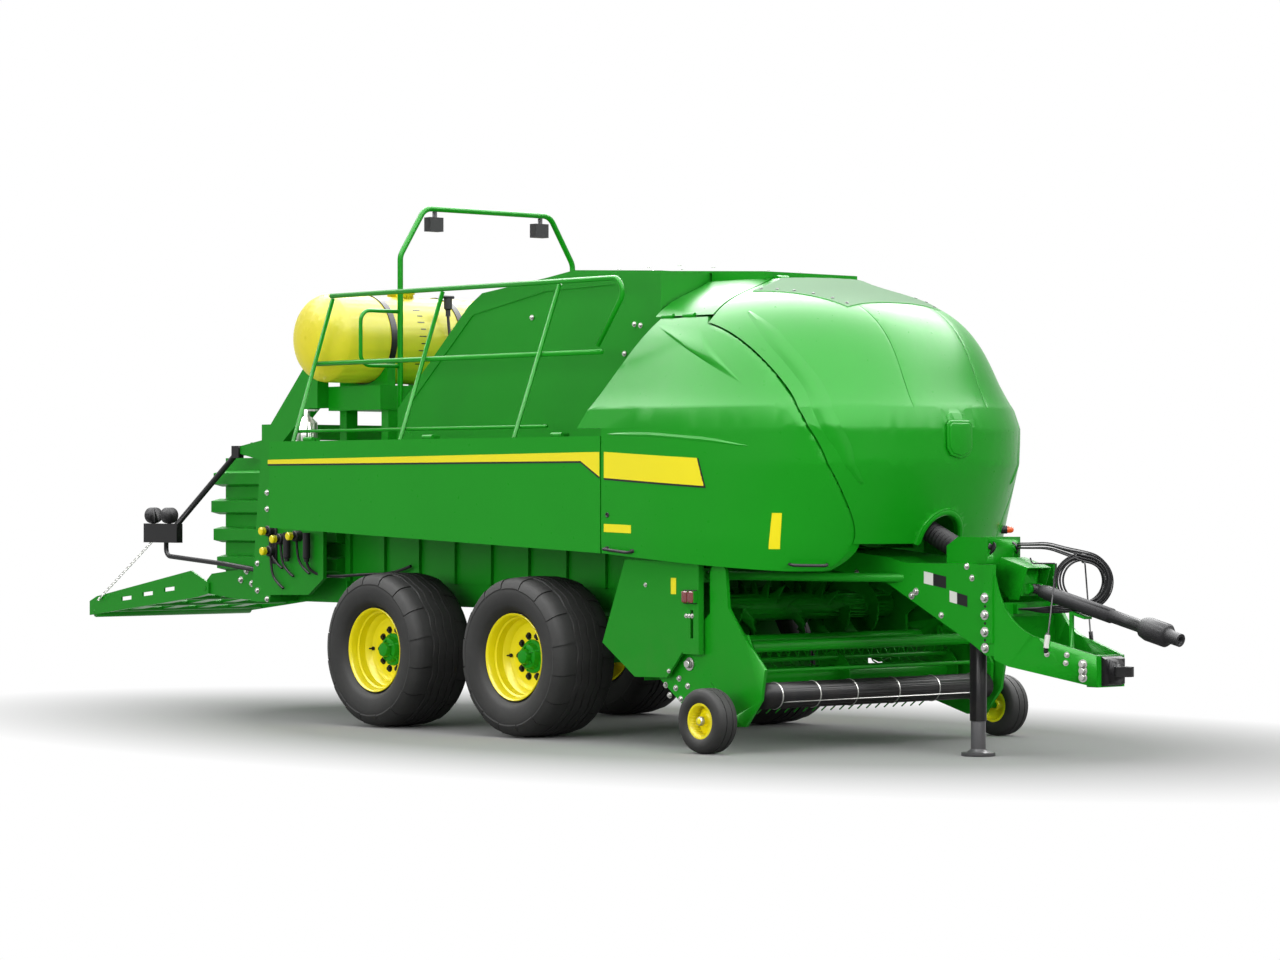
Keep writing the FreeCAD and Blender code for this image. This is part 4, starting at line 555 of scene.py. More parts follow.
def effect(tree, shader, group, bump, inputs):
    """Places an effect group in a material and joins it to the shader."""
    made = shading(tree, "Group", inputs, node_tree=bpy.data.node_groups[group]).outputs
    relief = shading(tree, "Bump", {"Strength": 1.0, "Distance": bump, "Height": made["Height"]})
    feed(tree, shader, {"Normal": relief.outputs["Normal"], "Base Color": made["Color"],
                        "Roughness": made["Roughness"]})


def paint(name, shade, roughness, coat=0.0, dust=0.1, drift=0.1, metallic=0.0, bump=0.00002,
          gloss=0.12):
    tree, shader = material(name)
    effect(tree, shader, "Sprayed coat", bump, {
        "Color": shade, "Drift": drift, "Dust Color": bpy.context.scene.baler_paint.dust,
        "Dust": dust, "Roughness": roughness})
    feed(tree, shader, {"Metallic": metallic, "Coat Weight": coat, "Coat Roughness": 0.22,
                        "Specular IOR Level": gloss})


def moulded(name, shade, roughness, bloom=0.25, bump=0.0002):
    tree, shader = material(name)
    pale = [min(1.0, 2.4 * c + 0.012) for c in shade[:3]] + [1.0]
    effect(tree, shader, "Moulded grain", bump, {"Color": shade, "Bloom Color": pale,
                                                 "Bloom": bloom, "Roughness": roughness})
    feed(tree, shader, {"Specular IOR Level": 0.16})


def lamp_glass(name, *shade):
    """A clear coloured lamp glass with its moulded ribs."""
    tree, shader = material(name)
    rings = shading(tree, "TexWave", {"Scale": 60.0, "Vector": object_place(tree)}).outputs["Fac"]
    relief = shading(tree, "Bump", {"Distance": 0.001, "Height": rings})
    dark = [0.7 * c for c in shade] + [1.0]
    feed(tree, shader, {"Normal": relief.outputs["Normal"], "Roughness": 0.15, "Coat Weight": 0.8,
                        "Base Color": mixed(tree, "MIX", rings, dark, (*shade, 1.0))})


class BALER_OT_paint(bpy.types.Operator):
    """Makes the finishes and gives them to the carried-over CAD nodes"""
    bl_idname = "baler.paint"
    bl_label = "Paint"

    def execute(self, context):
        coat_group()
        grain_group()
        colours = context.scene.baler_paint
        paint("Green paint", colours.green, 0.3)
        paint("Dark green paint", colours.dark_green, 0.42, dust=0.16)
        # painted sheen: the top sheet's pale colour stands in for its gloss, so it has no gloss of
        # its own
        paint("Roof painted sheen", colours.sheen_painted_green, 0.55, dust=0.0, gloss=0.0)
        paint("Yellow paint", colours.yellow, 0.34, coat=0.05, dust=0.05, gloss=0.25)
        paint("Tank plastic", colours.tank, 0.45, coat=0.15, drift=0.06, dust=0.0, bump=0.0001)
        paint("Black paint", colours.black, 0.42, coat=0.1, drift=0.3)
        paint("Grey paint", colours.grey, 0.4, coat=0.2)
        paint("Zinc plate", (0.42, 0.42, 0.4, 1.0), 0.34, drift=0.35, metallic=0.9)
        paint("Marker orange", (0.9, 0.11, 0.01, 1.0), 0.35, coat=0.2, dust=0.0)
        paint("Tag white", (0.72, 0.72, 0.68, 1.0), 0.45, coat=0.1, dust=0.0)
        moulded("Tyre rubber", colours.tyre, 0.62, bloom=0.22, bump=0.0004)
        moulded("Black plastic", colours.plastic, 0.48)
        moulded("Hose rubber", colours.plastic, 0.42, bloom=0.15)
        lamp_glass("Red glass", 0.22, 0.01, 0.006)
        lamp_glass("Clear glass", 0.62, 0.64, 0.66)
        for node, item in NODES.items():
            item.data.materials.clear()
            item.data.materials.append(bpy.data.materials[SLOT_FINISHES[NODE_SLOTS[node]]])
        return {"FINISHED"}


# ---- stage ----
def shown_rays(tree):
    """1 for the rays that show the white backdrop: to the camera, off gloss and through glass."""
    path = shading(tree, "LightPath").outputs
    gloss = maths(tree, "MAXIMUM", path["Is Glossy Ray"], path["Is Transmission Ray"])
    return maths(tree, "MAXIMUM", path["Is Camera Ray"], gloss)


def whiten(tree, share, plain, white, output):
    """Shows a white shader in place of the plain one, by the share."""
    blend = shading(tree, "MixShader", {0: share, 1: plain.outputs[0], 2: white.outputs[0]})
    feed(tree, tree.nodes[output], {"Surface": blend.outputs[0]})


class BALER_OT_stage(bpy.types.Operator):
    """Makes the floor, the soft lamps, the pale room and the camera"""
    bl_idname = "baler.stage"
    bl_label = "Stage"

    FADE = (2.1, 4.0)       # the floor is itself up to the first distance and white past the second
    MIDDLE = (0, 0, 1.5)
    CAMERA = (19.109, -17.186, 1.615)
    TURN = (90.2025, 0.0, 48.269)

    def execute(self, context):
        studio = context.scene.baler_studio
        self.floor(studio)
        self.lamps(studio)
        self.room(context, studio)
        self.camera(context, studio)
        return {"FINISHED"}

    def floor(self, studio):
        floor = primitive("plane", size=160.0, location=(0, 0, -0.002))
        floor.name = "floor"
        tree, shader = material("Floor")
        feed(tree, shader, {"Base Color": studio.floor, "Roughness": 0.9,
                            "Specular IOR Level": 0.0})
        squash = shading(tree, "Mapping", {"Scale": (0.55, 1.0, 1.0), "Location": (-0.4, 0.0, 0.0),
                                           "Vector": object_place(tree)})
        away = shading(tree, "VectorMath", {0: squash.outputs["Vector"]}, operation="LENGTH")
        fade = remap(tree, away.outputs["Value"], *self.FADE)
        whiten(tree, maths(tree, "MULTIPLY", fade, shown_rays(tree)), shader,
               shading(tree, "Emission"), "Material Output")
        floor.data.materials.append(bpy.data.materials["Floor"])

    def lamps(self, studio):
        side = studio.side_light
        # name, power, place, aim, size, whether it lights surfaces and whether it shows in gloss
        for name, power, spot, aim, size, lights, shows in (
                ("Top", studio.top_light, (1.5, -3.0, 9.0), self.MIDDLE, (13.0, 6.0), True, False),
                ("Side", side, (2.0, -14.0, 3.6), self.MIDDLE, (12.0, 5.0), True, False),
                ("Front", side * 0.6, (13.0, -2.0, 4.5), (1, 0, 1.5), (5.0, 5.0), True, False),
                ("Sheen", studio.sheen, (4.0, 0.0, 11.0), (4.0, 0.0, 0.0), (34.0, 28.0), False,
                 True)):
            lamp = bpy.data.lights.new(name, "AREA")
            lamp.shape, lamp.energy = "RECTANGLE", power
            lamp.size, lamp.size_y = size
            item = link(bpy.data.objects.new(name, lamp))
            item.location = spot
            item.rotation_euler = (Vector(aim) - Vector(spot)).to_track_quat("-Z", "Y").to_euler()
            item.visible_camera = False
            item.visible_diffuse, item.visible_glossy = lights, shows

    def room(self, context, studio):
        world = context.scene.world = bpy.data.worlds.new("Room")
        world.use_nodes = True
        tree, white = world.node_tree, (1.0, 1.0, 1.0, 1.0)
        light = feed(tree, tree.nodes["Background"], {"Color": white, "Strength": studio.sky})
        whiten(tree, shown_rays(tree), light, shading(tree, "Background", {"Color": white}),
               "World Output")

    def camera(self, context, studio):
        eye = link(bpy.data.objects.new("Camera", bpy.data.cameras.new("Camera")))
        eye.data.lens, eye.data.sensor_width, eye.data.clip_end = studio.lens, 36.0, 300.0
        eye.location = at(*self.CAMERA)
        eye.rotation_euler = [math.radians(angle) for angle in self.TURN]
        context.scene.camera = eye
        context.scene.view_settings.view_transform = "Standard"


# ---- hoses ----
LEAD = ((3.234, 0.115, 1.285), (3.33, 0.115, 1.285), (3.48, 0.124, 1.29), (3.6, 0.138, 1.258))
TAIL = ((3.624, 0.101, 0.911), (3.573, -0.006, 0.903), (3.527, -0.045, 0.902),
        (3.48, -0.062, 0.905), (3.435, -0.062, 0.905))
COIL_CENTRE = (3.701, 0.197, 1.074)
COIL_RADIUS = 0.15
COIL_TURN = math.radians(48.0)
TURNS = 1.5
POINTS_PER_TURN = 14
WOBBLE = 0.006          # how far a ring of the coil strays from round
SPREAD = 0.014          # how far the coil's ends lie from its middle, across it


class BALER_OT_hoses(bpy.types.Operator):
    """Hangs the tractor's hydraulic hoses in a loose coil in front of the gearbox"""
    bl_idname = "baler.hoses"
    bl_label = "Hoses"

    # name, place in the bundle, ring in the coil, place across it and at the fittings, length
    HOSES = (
        ("hose_red_a", (-0.009, -0.009), -0.021, -0.004, -0.032, 2.1),
        ("hose_red_b", (0.009, -0.009), -0.007, 0.004, -0.016, 2.22),
        ("hose_blue_a", (0.009, 0.009), 0.007, -0.003, 0.0, 2.34),
        ("hose_blue_b", (-0.009, 0.009), 0.021, 0.005, 0.016, 2.46),
        ("lamp_cable", (0.0, 0.021), 0.034, 0.0, 0.032, 2.57),
    )

    def execute(self, context):
        sizes = context.scene.baler_trim
        for name, bundle, ring, across, fitting, length in self.HOSES:
            thick = sizes.cable if name == "lamp_cable" else sizes.hose
            points = self.route(bundle, ring, across, fitting)
            piece = line_through(name, points, thick / 2, 3, 6)
            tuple(points[0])
            finish(piece, name, "Hose rubber", "chassis", node="hydraulic_hoses")
        return {"FINISHED"}

    def route(self, bundle, ring, across, fitting):
        """A line's control points: out of the bundle, round the coil and down to its fitting."""
        along = Vector((math.cos(COIL_TURN), math.sin(COIL_TURN), 0.0))
        aside = Vector((-math.sin(COIL_TURN), math.cos(COIL_TURN), 0.0))
        points = []
        for index, (x, y, z) in enumerate(LEAD):
            share = max(0.0, (index - 1) / len(LEAD))
            dy, dz = bundle
            points.append(at(x, y + dy * (1 - share), z + dz * (1 - share) + ring * share))
        count = round(TURNS * POINTS_PER_TURN)
        for index in range(count + 1):
            turn = math.tau * TURNS * index / count
            radius = COIL_RADIUS + ring + WOBBLE * math.sin(turn * 1.5 + ring * 60)
            drift = across + SPREAD * (index / count - 0.5) * 2
            points.append(at(*COIL_CENTRE) + along * radius * math.sin(turn) + aside * drift
                          + Vector((0, 0, radius * math.cos(turn))))
        for index, (x, y, z) in enumerate(TAIL):
            share = (index + 1) / len(TAIL)
            points.append(at(x, y + fitting * share, z - ring * (1 - share)))
        return points


# ---- carried-over shapes with curved faces ----
class BALER_OT_skins(bpy.types.Operator):
    """Shades the curved CAD shapes smoothly, in copies that stand for them"""
    bl_idname = "baler.skins"
    bl_label = "Smooth skins"

    PANELS = ("wing_door_right", "wing_door_left", "hood", "roof")
    CURVED = ("tank", "tank_straps", "lamp_hoop", "handrails", "rail_posts", "hose_hooks",
              "jack_tube", "jack_leg", "drive_shaft", "feed_rotor", "guard_roller", "extinguisher",
              "main_gearbox", "lamp_arms", "hitch_eye", "chute_roller", "work_lamps",
              "pickup_frame", "crop_guard", "hitch_arms", "front_gearbox", "knuckle_right",
              "knuckle_left", "axle_front", "axle_rear", "gauge_wheel_right", "gauge_wheel_left")

    def execute(self, context):
        for node in self.CURVED:
            carried_copy(node)
        for node in self.PANELS:
            modify(carried_copy(node, 20.0), "WEIGHTED_NORMAL", mode="FACE_AREA", keep_sharp=True,
                   weight=100)
        return {"FINISHED"}


# ---- tyres and wheels ----
def round_size(node):
    """The centre, the radius and half the width of a node that turns about Y."""
    low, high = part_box(node)
    return (low + high) / 2, (high.z - low.z) / 2, (high.y - low.y) / 2


class BALER_OT_tyres(bpy.types.Operator):
    """Models the tyres with their shoulder blocks and grooves"""
    bl_idname = "baler.tyres"
    bl_label = "Tyres"

    LUGS = 16
    LUG_SHARE = 0.955       # of the way from one lug to the next
    LUG_RISE, LUG_SLANT = 0.0045, 0.3
    TREAD_HALF = 0.12       # half the width of the tread that is waved
    WAVE = 0.007

    def execute(self, context):
        for side, _ in SIDES:
            for where in ("front_", "rear_"):
                self.road_tyre(where + side, context.scene.baler_trim)
            self.gauge_tyre(side)
        return {"FINISHED"}

    def road_tyre(self, wheel, sizes):
        node = "tyre_" + wheel
        centre, radius, half = round_size(node)
        deep, wide = sizes.tread, sizes.groove / 2
        flank = [(0.19, 0.286), (0.197, 0.3), (half * 0.89, 0.318), (half * 0.94, 0.345),
                 (half * 0.975, 0.385), (half * 0.985, 0.425), (half * 0.97, 0.455),
                 (half * 0.93, 0.478), (half * 0.87, 0.5), (half * 0.78, 0.514),
                 (0.15, radius - deep), (0.108, radius - deep), (0.104, radius - 0.003)]
        ribs = [(0.066 + wide, radius - 0.002), (0.066 + wide * 0.5, radius - deep),
                (0.066 - wide * 0.5, radius - deep), (0.066 - wide, radius - 0.001),
                (wide, radius), (wide * 0.5, radius - deep)]
        profile = both_ways(flank + ribs) + [(-0.19, 0.279), (0.19, 0.279)]
        carcass = revolve(profile, centre, (0, 1, 0), 96, None)
        for vertex in carcass.data.vertices:
            reach = vertex.co - centre
            out = math.hypot(reach.x, reach.z)
            if abs(reach.y) < self.TREAD_HALF and out > radius - 2 * deep:
                vertex.co.y += self.WAVE * math.sin(self.LUGS * math.atan2(reach.z, reach.x))
        smooth(carcass, 38.0)
        there, back = Matrix.Translation(centre), Matrix.Translation(-centre)
        mirror = there @ Matrix.Scale(-1, 4, (0, 1, 0)) @ back
        shoulders = ((Matrix.Identity(4), 0.0), (mirror, 0.5))
        turns = [there @ Matrix.Rotation(math.tau * (index + offset) / self.LUGS, 4, "Y") @ back
                 @ flip for index in range(self.LUGS) for flip, offset in shoulders]
        lugs = copies(self.shoulder_lug(centre, radius, half, deep), turns)
        finish([carcass] + lugs, node + "_tread", "Tyre rubber", "wheel_" + wheel, node=node)

    def shoulder_lug(self, centre, radius, half, deep):
        """One raised lug of the shoulder, a slanted stretch of ring that rises to one end."""
        profile = [(0.116, radius - deep - 0.006), (0.116, radius - 0.004),
                   (half * 0.66, radius - 0.005), (half * 0.83, radius - 0.015),
                   (half * 0.925, radius - 0.036), (half * 0.985, radius - 0.074),
                   (half * 0.975, radius - 0.084), (half * 0.9, radius - 0.066),
                   (half * 0.8, radius - 0.036)]
        arc = math.tau / self.LUGS * self.LUG_SHARE
        start = ring_of([centre + Vector((0, along, reach)) for along, reach in profile], "NGON")
        piece = spin(start, 6, arc, centre, (0, 1, 0))
        for vertex in piece.data.vertices:
            reach = vertex.co - centre
            turn = math.atan2(reach.x, reach.z)
            out = math.hypot(reach.x, reach.z) - self.LUG_RISE * (abs(turn) / arc)
            slant = turn + self.LUG_SLANT * (reach.y - half * 0.7)
            vertex.co = centre + Vector((math.sin(slant) * out, reach.y, math.cos(slant) * out))
        return smooth(piece, 28.0)

    def gauge_tyre(self, side):
        node = "gauge_tyre_" + side
        centre, radius, half = round_size(node)
        right = [(half * 0.8, radius * 0.545), (half * 0.93, radius * 0.6), (half, radius * 0.72),
                 (half * 0.99, radius * 0.8), (half * 0.985, radius * 0.81),
                 (half * 0.93, radius * 0.9), (half * 0.84, radius * 0.955),
                 (half * 0.66, radius * 0.99), (half * 0.4, radius), (half * 0.36, radius),
                 (half * 0.34, radius - 0.005), (half * 0.28, radius - 0.005),
                 (half * 0.26, radius)]
        seat = radius * 0.525
        piece = revolve(both_ways(right) + [(-half * 0.8, seat), (half * 0.8, seat)], centre,
                        (0, 1, 0), 56, 38.0)
        finish(piece, node + "_tread", "Tyre rubber", "gauge_wheel_" + side, node=node)


class BALER_OT_hubs(bpy.types.Operator):
    """Models the yellow rims, the green hubs, their nuts and valves, and the gauge wheels' caps"""
    bl_idname = "baler.hubs"
    bl_label = "Hubs"

    WHEEL_Y = 1.051
    # (along, out) points, and the ribs' (along, up) points
    RIM = ((0.21, 0.2905), (0.213, 0.287), (0.209, 0.28), (0.196, 0.272), (0.15, 0.268),
           (0.143, 0.257), (0.095, 0.252), (0.087, 0.24), (0.056, 0.222), (0.046, 0.202),
           (0.043, 0.196), (0.04, 0.16), (0.04, 0.094), (0.026, 0.094), (0.026, 0.17),
           (0.028, 0.204), (0.064, 0.24), (0.07, 0.262), (-0.196, 0.27), (-0.209, 0.28),
           (-0.213, 0.287), (-0.21, 0.2905), (-0.203, 0.2905), (-0.199, 0.279), (0.199, 0.279),
           (0.203, 0.2905))
    BARREL = ((-0.119, 0.095), (0.041, 0.095), (0.041, 0.112), (0.052, 0.11), (0.057, 0.092),
              (0.092, 0.078), (0.1, 0.06), (0.1, 0.052), (0.128, 0.05), (0.138, 0.044),
              (0.142, 0.03), (0.143, 0.0), (-0.06, 0.0), (-0.119, 0.058))
    RIB = ((0.042, 0.05), (0.12, 0.05), (0.112, 0.062), (0.058, 0.094), (0.054, 0.112),
           (0.042, 0.112))
    RIBS, RIB_THICK = 5, 0.016
    NUTS, NUT_SIZE, NUT_CIRCLE, NUT_SEAT = 10, 0.028, 0.14, 0.039
    VALVE = (-0.212, 0.05)  # behind the wheel's centre, and outside it

    def execute(self, context):
        for side, s in SIDES:
            for where in ("front_", "rear_"):
                self.road_hub("wheel_" + where + side, s)
            self.gauge_hub("gauge_wheel_" + side, s)
        return {"FINISHED"}

    def road_hub(self, node, s):
        low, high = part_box(node)
        centre = Vector(((low.x + high.x) / 2, s * self.WHEEL_Y, (low.z + high.z) / 2))
        out = Vector((0, s, 0))
        finish(revolve(self.RIM, centre, out, 96, 32.0), node + "_rim", "Yellow paint", node,
               node=node)
        hub = revolve(self.BARREL, centre, out, 40, 32.0)
        rib = soften(plate(self.RIB, self.RIB_THICK, (self.RIB_THICK / 2, 0, 0), out), 0.0025, 1)
        there = Matrix.Translation(centre)
        shift = Matrix.Translation((0.0 if s > 0 else -self.RIB_THICK, 0, 0))
        ribs = copies(rib, [there @ Matrix.Rotation(math.tau * index / self.RIBS, 4, "Y") @ shift
                            for index in range(self.RIBS)])
        finish([hub] + ribs, node + "_hub", "Green paint", node)
        nuts = []
        for index in range(self.NUTS):
            angle = math.tau * (index + 0.5) / self.NUTS
            spot = Vector((math.sin(angle) * self.NUT_CIRCLE, s * self.NUT_SEAT,
                           math.cos(angle) * self.NUT_CIRCLE))
            nuts.append((centre + spot, out))
        scatter(hexagon_head(self.NUT_SIZE), nuts, node + "_nuts", node, "Black paint")
        valve = centre + Vector((self.VALVE[0], s * self.VALVE[1], 0.0))
        boss = bar(valve, valve + out * 0.012, 0.013, 12)
        stem = bar(valve + out * 0.01, valve + out * 0.04, 0.006, 10, 0.005)
        finish(smooth(join([boss, stem])), node + "_valve", "Black plastic", node)

    def gauge_hub(self, node, s):
        low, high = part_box(node)
        centre = Vector(((low.x + high.x) / 2, s * (abs(low.y + high.y) / 2), (low.z + high.z) / 2))
        face = max(abs(low.y), abs(high.y)) - abs(centre.y)
        cap = [(face - 0.028, 0.03), (face - 0.012, 0.029), (face - 0.004, 0.024), (face, 0.0),
               (face - 0.028, 0.0)]
        finish(revolve(cap, centre, (0, s, 0), 24, 32.0), node + "_cap", "Zinc plate", node)


# ---- stripes, reflectors and plates ----
FEEDER_FACE = 1.155
DRAWBAR_FACE = 0.28
ARCH_MIDDLE = 1.312     # height of the middle of the arch that the shaft comes out of
ARCH_RADIUS = 0.19


class BALER_OT_stripes(bpy.types.Operator):
    """Lays the yellow stripes, the reflectors and the blank plates on the panels"""
    bl_idname = "baler.stripes"
    bl_label = "Stripes"

    # rear top, front top, front low and rear low corners, as (x, z)
    STRIPES = (((-2.716, 1.854), (0.7, 1.88), (0.7, 1.824), (-2.716, 1.824)),
               ((0.7, 1.88), (0.884, 1.881), (0.884, 1.722), (0.7, 1.824)))
    FLASH = ((0.929, 1.881), (1.77, 1.836), (1.82, 1.661), (0.929, 1.714))
    REFLECTORS = (((0.929, 1.419), (1.19, 1.412), (1.19, 1.36), (0.929, 1.367)),
                  ((2.248, 1.493), (2.3, 1.493), (2.264, 1.269), (2.206, 1.269)))
    SHIELD = ((1.431, 1.079), (1.48, 1.079), (1.48, 0.976), (1.431, 0.976))
    OUTLINE = 0.013
    PALE_SHARE = 0.42

    def execute(self, context):
        thick = context.scene.baler_trim.decal
        for side, s in SIDES:
            door, wing = body_of("side_door_" + side), body_of("wing_door_" + side)
            skin = bpy.data.objects["wing_door_%s_skin" % side]

            def lay(corners, panel=skin, steps=(32, 6)):
                return film(corners, s, panel, thickness=thick, steps=steps)

            finish([lay(each, None) for each in self.STRIPES], "stripe_" + side, "Yellow paint",
                   door)
            finish([lay(self.below(each), None) for each in self.STRIPES], "stripe_line_" + side,
                   "Black paint", door)
            finish(lay(self.FLASH), "flash_" + side, "Yellow paint", wing)
            (x2, z2), (x3, z3) = self.FLASH[1:3]
            end = lay(((x2, z2), (x2 + 0.012, z2 - 0.001), (x3 + 0.014, z3 - self.OUTLINE),
                       (x3, z3 - self.OUTLINE)))
            finish([lay(self.below(self.FLASH)), end], "flash_line_" + side, "Black paint", wing)
            finish([lay(each, steps=(14, 10)) for each in self.REFLECTORS],
                   "door_reflectors_" + side, "Yellow paint", wing)
            finish(film(self.SHIELD, s, face=FEEDER_FACE), "shield_reflector_" + side,
                   "Yellow paint", body_of("feeder_frame"))
            self.blank_plates(side, s)
        return {"FINISHED"}

    def below(self, corners):
        """The thin band under a film's lower edge."""
        (x3, z3), (x4, z4) = corners[2:]
        return (x4, z4), (x3, z3), (x3, z3 - self.OUTLINE), (x4, z4 - self.OUTLINE)

    def blank_plates(self, side, s):
        """Two bare plates on the drawbar, each part pale and part dark."""
        pale, dark = [], []
        drop, flat = 0.03, {"face": DRAWBAR_FACE, "steps": (2, 2)}
        share = drop * self.PALE_SHARE
        for x, z, wide, tall in ((2.81, 1.055, 0.19, 0.075), (3.03, 0.945, 0.15, 0.07)):
            middle, end = x + wide * self.PALE_SHARE, x + wide
            pale.append(film(((x, z + tall), (middle, z + tall - share), (middle, z - share),
                              (x, z)), s, **flat))
            dark.append(film(((middle, z + tall - share), (end, z + tall - drop),
                              (end, z - drop), (middle, z - share)), s, **flat))
        body = body_of("drawbar_beam")
        finish(pale, "blank_plates_%s_pale" % side, "Tag white", body)
        finish(dark, "blank_plates_%s_dark" % side, "Black paint", body)


# ---- fittings on the doors and the hood ----
class BALER_OT_door_fittings(bpy.types.Operator):
    """Models the door handles, locks and creases, the hood's arch trim and its bare badge pad"""
    bl_idname = "baler.door_fittings"
    bl_label = "Door fittings"

    # (x, z) points and corners
    CREASE = ((0.935, 1.996), (1.4, 1.985), (1.85, 1.95), (2.16, 1.905))
    HOOD_CREASE = ((1.78, 2.78), (2.0, 2.66), (2.16, 2.535), (2.32, 2.39), (2.44, 2.25),
                   (2.53, 2.1), (2.6, 1.96), (2.645, 1.8), (2.66, 1.64))
    SCOOP = ((1.08, 2.7), (1.52, 2.66), (2.02, 2.29), (1.6, 2.48))
    # (x, y, z) points on the left side
    REAR_HANDLE = ((0.955, 1.262, 1.262), (0.955, 1.318, 1.258), (0.985, 1.322, 1.256),
                   (1.165, 1.322, 1.24), (1.195, 1.318, 1.238), (1.195, 1.258, 1.244))
    FRONT_HANDLE = ((2.275, 0.93, 1.176), (2.345, 0.985, 1.172), (2.372, 0.96, 1.168),
                    (2.47, 0.83, 1.166), (2.488, 0.8, 1.168), (2.415, 0.745, 1.176))
    # (along, out) points
    LOCK = ((-0.002, 0.017), (0.004, 0.017), (0.006, 0.013), (0.002, 0.01), (0.001, 0.0),
            (-0.002, 0.0))
    MARKER_BASE = ((-0.03, 0.026), (0.008, 0.026), (0.012, 0.02), (0.012, 0.0), (-0.03, 0.0))
    MARKER_GLASS = ((0.01, 0.022), (0.034, 0.021), (0.048, 0.014), (0.052, 0.0), (0.01, 0.0))
    # (across, up) points
    BADGE = ((-0.075, 0.1), (0.075, 0.1), (0.098, 0.082), (0.098, -0.045), (0.07, -0.088),
             (0.0, -0.104), (-0.07, -0.088), (-0.098, -0.045), (-0.098, 0.082))

    def execute(self, context):
        hood, body = bpy.data.objects["hood_skin"], body_of("hood")
        for side, s in SIDES:
            wing, skin = body_of("wing_door_" + side), bpy.data.objects["wing_door_%s_skin" % side]
            creases = [ribbon(self.CREASE, 0.03, s, skin, 0.006),
                       film(self.SCOOP, s, skin, steps=(34, 16), swell=0.013, **PRESSED)]
            finish(creases, "door_creases_" + side, "Green paint", wing)
            finish(ribbon(self.HOOD_CREASE, 0.08, s, hood, 0.008, 90), "hood_crease_" + side,
                   "Green paint", body)
            self.handles(side, s, wing)
            finish(revolve(self.LOCK, at(0.962, s * DOOR_FACE, 1.476), (0, s, 0), 24, 30.0),
                   "door_lock_" + side, "Black plastic", wing)
        centre, out = at(2.53, 0.77, 1.38), (0.75, 0.66, 0.0)
        for profile, name, material in (
                (self.MARKER_BASE, "marker_base", "Black plastic"),
                (self.MARKER_GLASS, "marker_glass", "Marker orange")):
            finish(revolve(profile, centre, out, 20), name, material, body_of("wing_door_left"))
        finish(self.arch_rim(), "hood_arch_rim", "Green paint", body)
        pads = [soften(plate([(u * scale, w * scale) for u, w in self.BADGE], depth,
                             at(2.84, 0.0, 1.955), (0, 1, 0), (-0.02, 0, 1)), 0.006, 3)
                for scale, depth in ((1.16, 0.016), (1.0, 0.024))]
        finish(pads, "badge_pad", "Green paint", body)
        return {"FINISHED"}

    def handles(self, side, s, body):
        """A grab handle under the door's lower edge and one on its front corner."""
        parts = [bent([at(x, s * y, z) for x, y, z in way], 0.01)
                 for way in (self.REAR_HANDLE, self.FRONT_HANDLE)]
        for x, z in ((0.955, 1.266), (1.195, 1.248)):
            foot = block(at(x - 0.02, s * 1.262 - 0.016, z - 0.012),
                         at(x + 0.02, s * 1.262 + 0.016, z + 0.012))
            parts.append(soften(foot, 0.004))
        finish(parts, "door_handles_" + side, "Black plastic", body)

    def arch_rim(self):
        """The rolled rim round the opening that the drive line comes out of."""
        points = [at(2.652, -ARCH_RADIUS, 1.303)]
        for step in range(9):
            angle = math.pi * (1 - step / 8)
            z = ARCH_MIDDLE + ARCH_RADIUS * math.sin(angle)
            points.append(at(2.658 + 0.41 * (z - ARCH_MIDDLE), ARCH_RADIUS * math.cos(angle), z))
        return bent(points + [at(2.652, ARCH_RADIUS, 1.303)], 0.024, 3)


# ---- the roof's top sheet ----
class BALER_OT_top_sheet(bpy.types.Operator):
    """Lays the riveted sheet on top of the hood, green paint with its sheen painted in pale, and
    the rivets on the roof
    """
    bl_idname = "baler.top_sheet"
    bl_label = "Top sheet"

    REAR, LONG = 1.62, 0.66
    HALF, TAPER = 0.62, 0.2        # half the width at the rear, and how much less it is in front
    INSET = 0.035                   # of the rivets from the sheet's sides

    def execute(self, context):
        hood, body = bpy.data.objects["hood_skin"], body_of("hood")

        def spot_of(u, w):
            return at(self.REAR + self.LONG * u, (self.HALF - self.TAPER * u) * (2 * w - 1), 3.4)

        # the sheet's pale colour is painted sheen over green paint
        finish(lay_on(mapped_grid((24, 24), spot_of), hood, 0.001, 0.005, along="z"), "top_sheet",
               "Roof painted sheen", body)
        rivets = []
        for s in (-1, 1):
            for u in (0.05, 0.22, 0.4, 0.6, 0.8, 0.95):
                y = s * (self.HALF - self.INSET - self.TAPER * u)
                hit, spot, normal, _ = hood.ray_cast(at(self.REAR + self.LONG * u, y, 4.0),
                                                     Vector((0, 0, -1)))
                if hit:
                    rivets.append((spot + normal * 0.006, normal))
        scatter(round_head(0.022), rivets, "sheet_rivets", body, "Black paint")
        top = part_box("roof")[1].z
        heads = [(at(x, s * y, top), (0, 0, 1)) for s in (-1, 1)
                 for x in (0.25, 0.55, 0.85) for y in (0.25, 0.55)]
        scatter(round_head(0.024), heads, "roof_rivets", body_of("roof"))
        return {"FINISHED"}


# ---- bolts ----
def both_sides(y, spots):
    """The (x, z) spots on both of the faces at y, each with the way that the face looks."""
    return [(at(x, s * y, z), (0, s, 0)) for s in (-1, 1) for x, z in spots]


